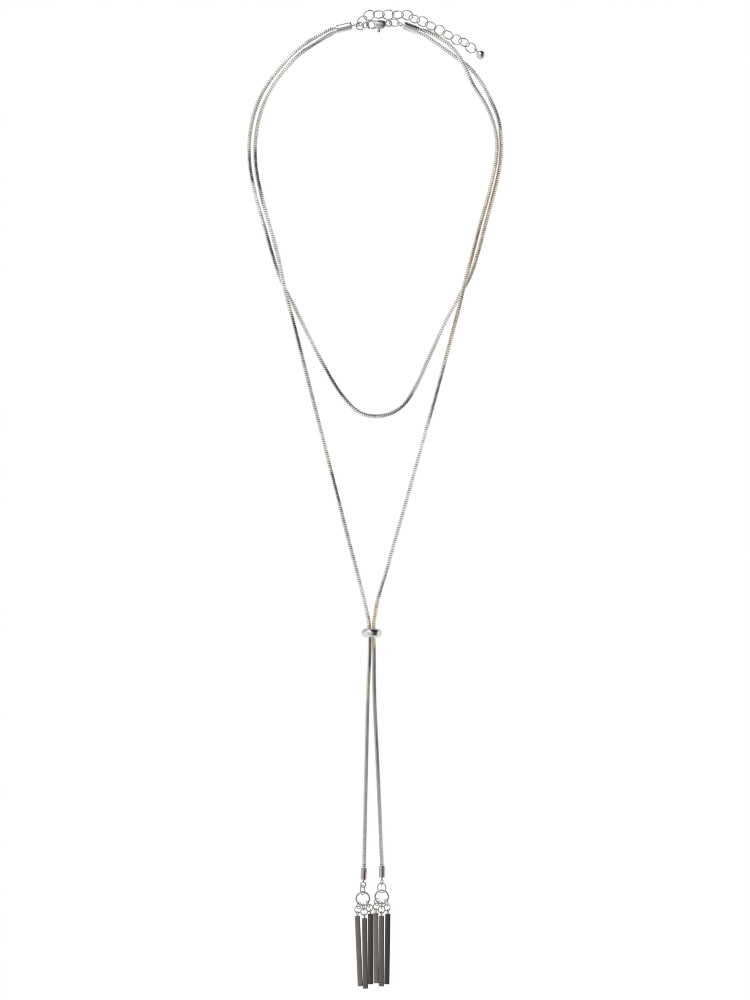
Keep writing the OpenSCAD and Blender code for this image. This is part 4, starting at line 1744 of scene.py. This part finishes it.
@dataclass
class Studio:
    """White table, surrounding cards and the camera."""

    height: float = 1.5
    view_height: float = 0.430
    centre_x: float = 0.000215
    aim_z: float = 0.0015
    sensor: float = 36.0
    # The table's half size, underside and top in millimetres
    half_size: float = 4000.0
    underside: float = -12.0
    top: float = -0.02
    table: float = 0.72
    glow: float = 1.08
    glow_share: float = 0.9
    surround: Colour = (0.90, 0.90, 0.89)
    cards: tuple[Card, ...] = (
        Card(90, 92, 50, 30, (0.34, 0.34, 0.34), 0.4),
        Card(0, 0, 42, 36, (0.60, 0.60, 0.59), 0.5),
        Card(180, 62, 50, 9, (0.98, 0.98, 0.97)),
        Card(0, 40, 62, 27, (0.08, 0.08, 0.08), 0.35),
        Card(62, 72, 30, 30, (0.03, 0.03, 0.03), 0.2),
        Card(116, 58, 14, 36, (1.5, 1.5, 1.49), 0.2),
        Card(0, 0, 9, 8, (0.30, 0.30, 0.30), 0.5),
    )

    def build_camera(self) -> None:
        """Hangs the camera over the table, looking straight down."""
        data = bpy.data.cameras.new("top_camera")
        data.sensor_width = self.sensor
        data.sensor_fit = "AUTO"
        data.lens = self.sensor * (self.height - self.aim_z) / self.view_height
        data.clip_start = 0.05
        data.clip_end = 20.0
        camera = bpy.data.objects.new("top_camera", data)
        camera.location = (self.centre_x, 0.0, self.height)
        bpy.context.scene.collection.objects.link(camera)
        bpy.context.scene.camera = camera

    def build_table(self) -> None:
        """Makes the white glowing table that the necklace lies on."""
        half = self.half_size
        corners = ((-half, -half), (half, -half), (half, half), (-half, half))
        shell = Shell()
        shell.rings([[Vector((x, y, z)) for x, y in corners] for z in (self.underside, self.top)])
        material = bpy.data.materials.new("white_table")
        material.use_nodes = True
        tree = material.node_tree
        shader = tree.nodes["Principled BSDF"]
        shader.inputs["Base Color"].default_value = (self.table, self.table, self.table, 1)
        shader.inputs["Roughness"].default_value = 0.9
        shader.inputs["Specular IOR Level"].default_value = 0.0
        glow = add_node(tree, "ShaderNodeEmission")
        glow.inputs["Strength"].default_value = self.glow
        seen = add_node(tree, "ShaderNodeLightPath").outputs["Is Camera Ray"]
        both = add_node(tree, "ShaderNodeMixShader")
        link(tree, math_node(tree, "MULTIPLY", seen, self.glow_share), both.inputs[0])
        link(tree, shader.outputs[0], both.inputs[1])
        link(tree, glow.outputs[0], both.inputs[2])
        link(tree, both.outputs[0], tree.nodes["Material Output"].inputs["Surface"])
        table = new_piece("table", shell, material)
        table.visible_glossy = False

    @staticmethod
    def card_group() -> Tree:
        """Builds the group that masks one card.

        Returns:
            A group with Direction, Aim, Level, Rise and Soft inputs and a Mask output.
        """
        vectors = {"Direction": (0, 0, 1), "Aim": (0, 0, 1), "Level": (1, 0, 0), "Rise": (0, 1, 0)}
        inputs = [(label, "NodeSocketVector", value) for label, value in vectors.items()]
        tree, source, sink = new_group("studio_card", [*inputs, ("Soft", "NodeSocketFloat", 0.2)], ("Mask",))

        def dot(label: str) -> Socket:
            """Adds the direction's share along a named input.

            Args:
                label: Name of the input.

            Returns:
                The share.
            """
            node = add_node(tree, "ShaderNodeVectorMath", operation="DOT_PRODUCT")
            link(tree, source.outputs["Direction"], node.inputs[0])
            link(tree, source.outputs[label], node.inputs[1])
            return node.outputs["Value"]

        across, along = (math_node(tree, "POWER", math_node(tree, "ABSOLUTE", dot(label)), 4.0)
                         for label in ("Level", "Rise"))
        reach = math_node(tree, "POWER", math_node(tree, "ADD", across, along), 0.25)
        soft = source.outputs["Soft"]
        inside = map_range(tree, reach, smooth=True, from_min=math_node(tree, "ADD", 1.0, soft),
                           from_max=math_node(tree, "SUBTRACT", 1.0, soft))
        facing = math_node(tree, "GREATER_THAN", dot("Aim"), 0.0)
        link(tree, math_node(tree, "MULTIPLY", inside, facing), sink.inputs["Mask"])
        return tree

    def build_world(self) -> None:
        """Surrounds the table with plain soft cards."""
        scene = bpy.context.scene
        scene.world = bpy.data.worlds.new("studio")
        scene.world.use_nodes = True
        tree = scene.world.node_tree
        group = self.card_group()
        place = add_node(tree, "ShaderNodeTexCoord").outputs["Generated"]
        colour: Socket | Colour = self.surround
        for card in self.cards:
            mask = add_node(tree, "ShaderNodeGroup", node_tree=group)
            link(tree, place, mask.inputs["Direction"])
            for label, axis in zip(("Aim", "Level", "Rise"), card.axes()):
                mask.inputs[label].default_value = axis
            mask.inputs["Soft"].default_value = card.soft
            colour = mix_colours(tree, colour, card.colour, mask.outputs["Mask"])
        link(tree, colour, tree.nodes["Background"].inputs["Color"])
        scene.view_settings.view_transform = "Standard"
        scene.view_settings.look = "None"
        scene.cycles.filter_width = 1.0

    def build(self) -> None:
        """Builds the whole studio."""
        self.build_camera()
        self.build_table()
        self.build_world()


def dress_cad_nodes(names: list[str], material: Material) -> None:
    """Gives carried-over CAD nodes their finish.

    Args:
        names: Names of the nodes.
        material: Finish to give them.
    """
    for name in names:
        node = frame["nodes"][name]
        if not node.material_slots:
            node.data.materials.append(material)
        for slot in node.material_slots:
            slot.material = material


def main() -> None:
    """Builds the necklace piece by piece."""
    logging.basicConfig(level=logging.INFO, format="%(name)s: %(message)s")
    effects = SharedEffects()
    rhodium = PolishedFinish("polished_rhodium").build(effects)
    ring_wire = PolishedFinish("drawn_ring_wire", bright=(0.66, 0.65, 0.63), dull=(0.46, 0.45, 0.43),
                               rough_low=0.1, rough_high=0.22).build(effects)
    # The crimp caps are one metal: the left cap's rosy tint is a painted warm reflection, the right cap's
    # darker grey a painted dark reflection
    rosy = PolishedFinish("crimp_painted_rosy_reflection", bright=(0.58, 0.52, 0.515),
                          dull=(0.48, 0.425, 0.42)).build(effects)
    grey = PolishedFinish("crimp_painted_dark_reflection", bright=(0.56, 0.56, 0.56),
                          dull=(0.46, 0.46, 0.46)).build(effects)
    cast = PolishedFinish("cast_clasp_metal", bright=(0.68, 0.68, 0.67), dull=(0.58, 0.58, 0.57),
                          rough_low=0.16, rough_high=0.28).build(effects)
    chain_metal = ChainFinish().build(effects)
    gunmetal = BrushedFinish().build(effects)

    Studio().build()
    SnakeChains().build(chain_metal)
    ring_tool = RingTool()
    extender = Extender()
    tassels = Tassels()
    clasp_places = [(-6.25, 203.7, 1.85, 105, 14, 230), (-3.95, 204.2, 1.5, 10, 50, 95)]
    families = [
        RingFamily("clasp_rings", 3.6, 0.45, clasp_places, ["extender_ring", "catch_ring"]),
        RingFamily("eye_ring", 4.8, 0.5, [(8.45, 205.15, 2, -10, 54, 80)], ["clasp_ring"]),
        extender.family(),
        *tassels.families(),
    ]
    for family in families:
        family.build(ring_tool, ring_wire)
    extender.build_ball(rhodium)
    ClaspCups().build(rhodium)
    clasp = LobsterClasp()
    clasp.build_body(cast)
    clasp.build_lever(cast)
    SliderBead().build(rhodium)
    CrimpCaps().build(rosy, grey)
    tassels.build_bars(gunmetal)
    dress_cad_nodes([f"bar_eye_{i}" for i in range(1, 7)], ring_wire)


if __name__ == "__main__":
    main()
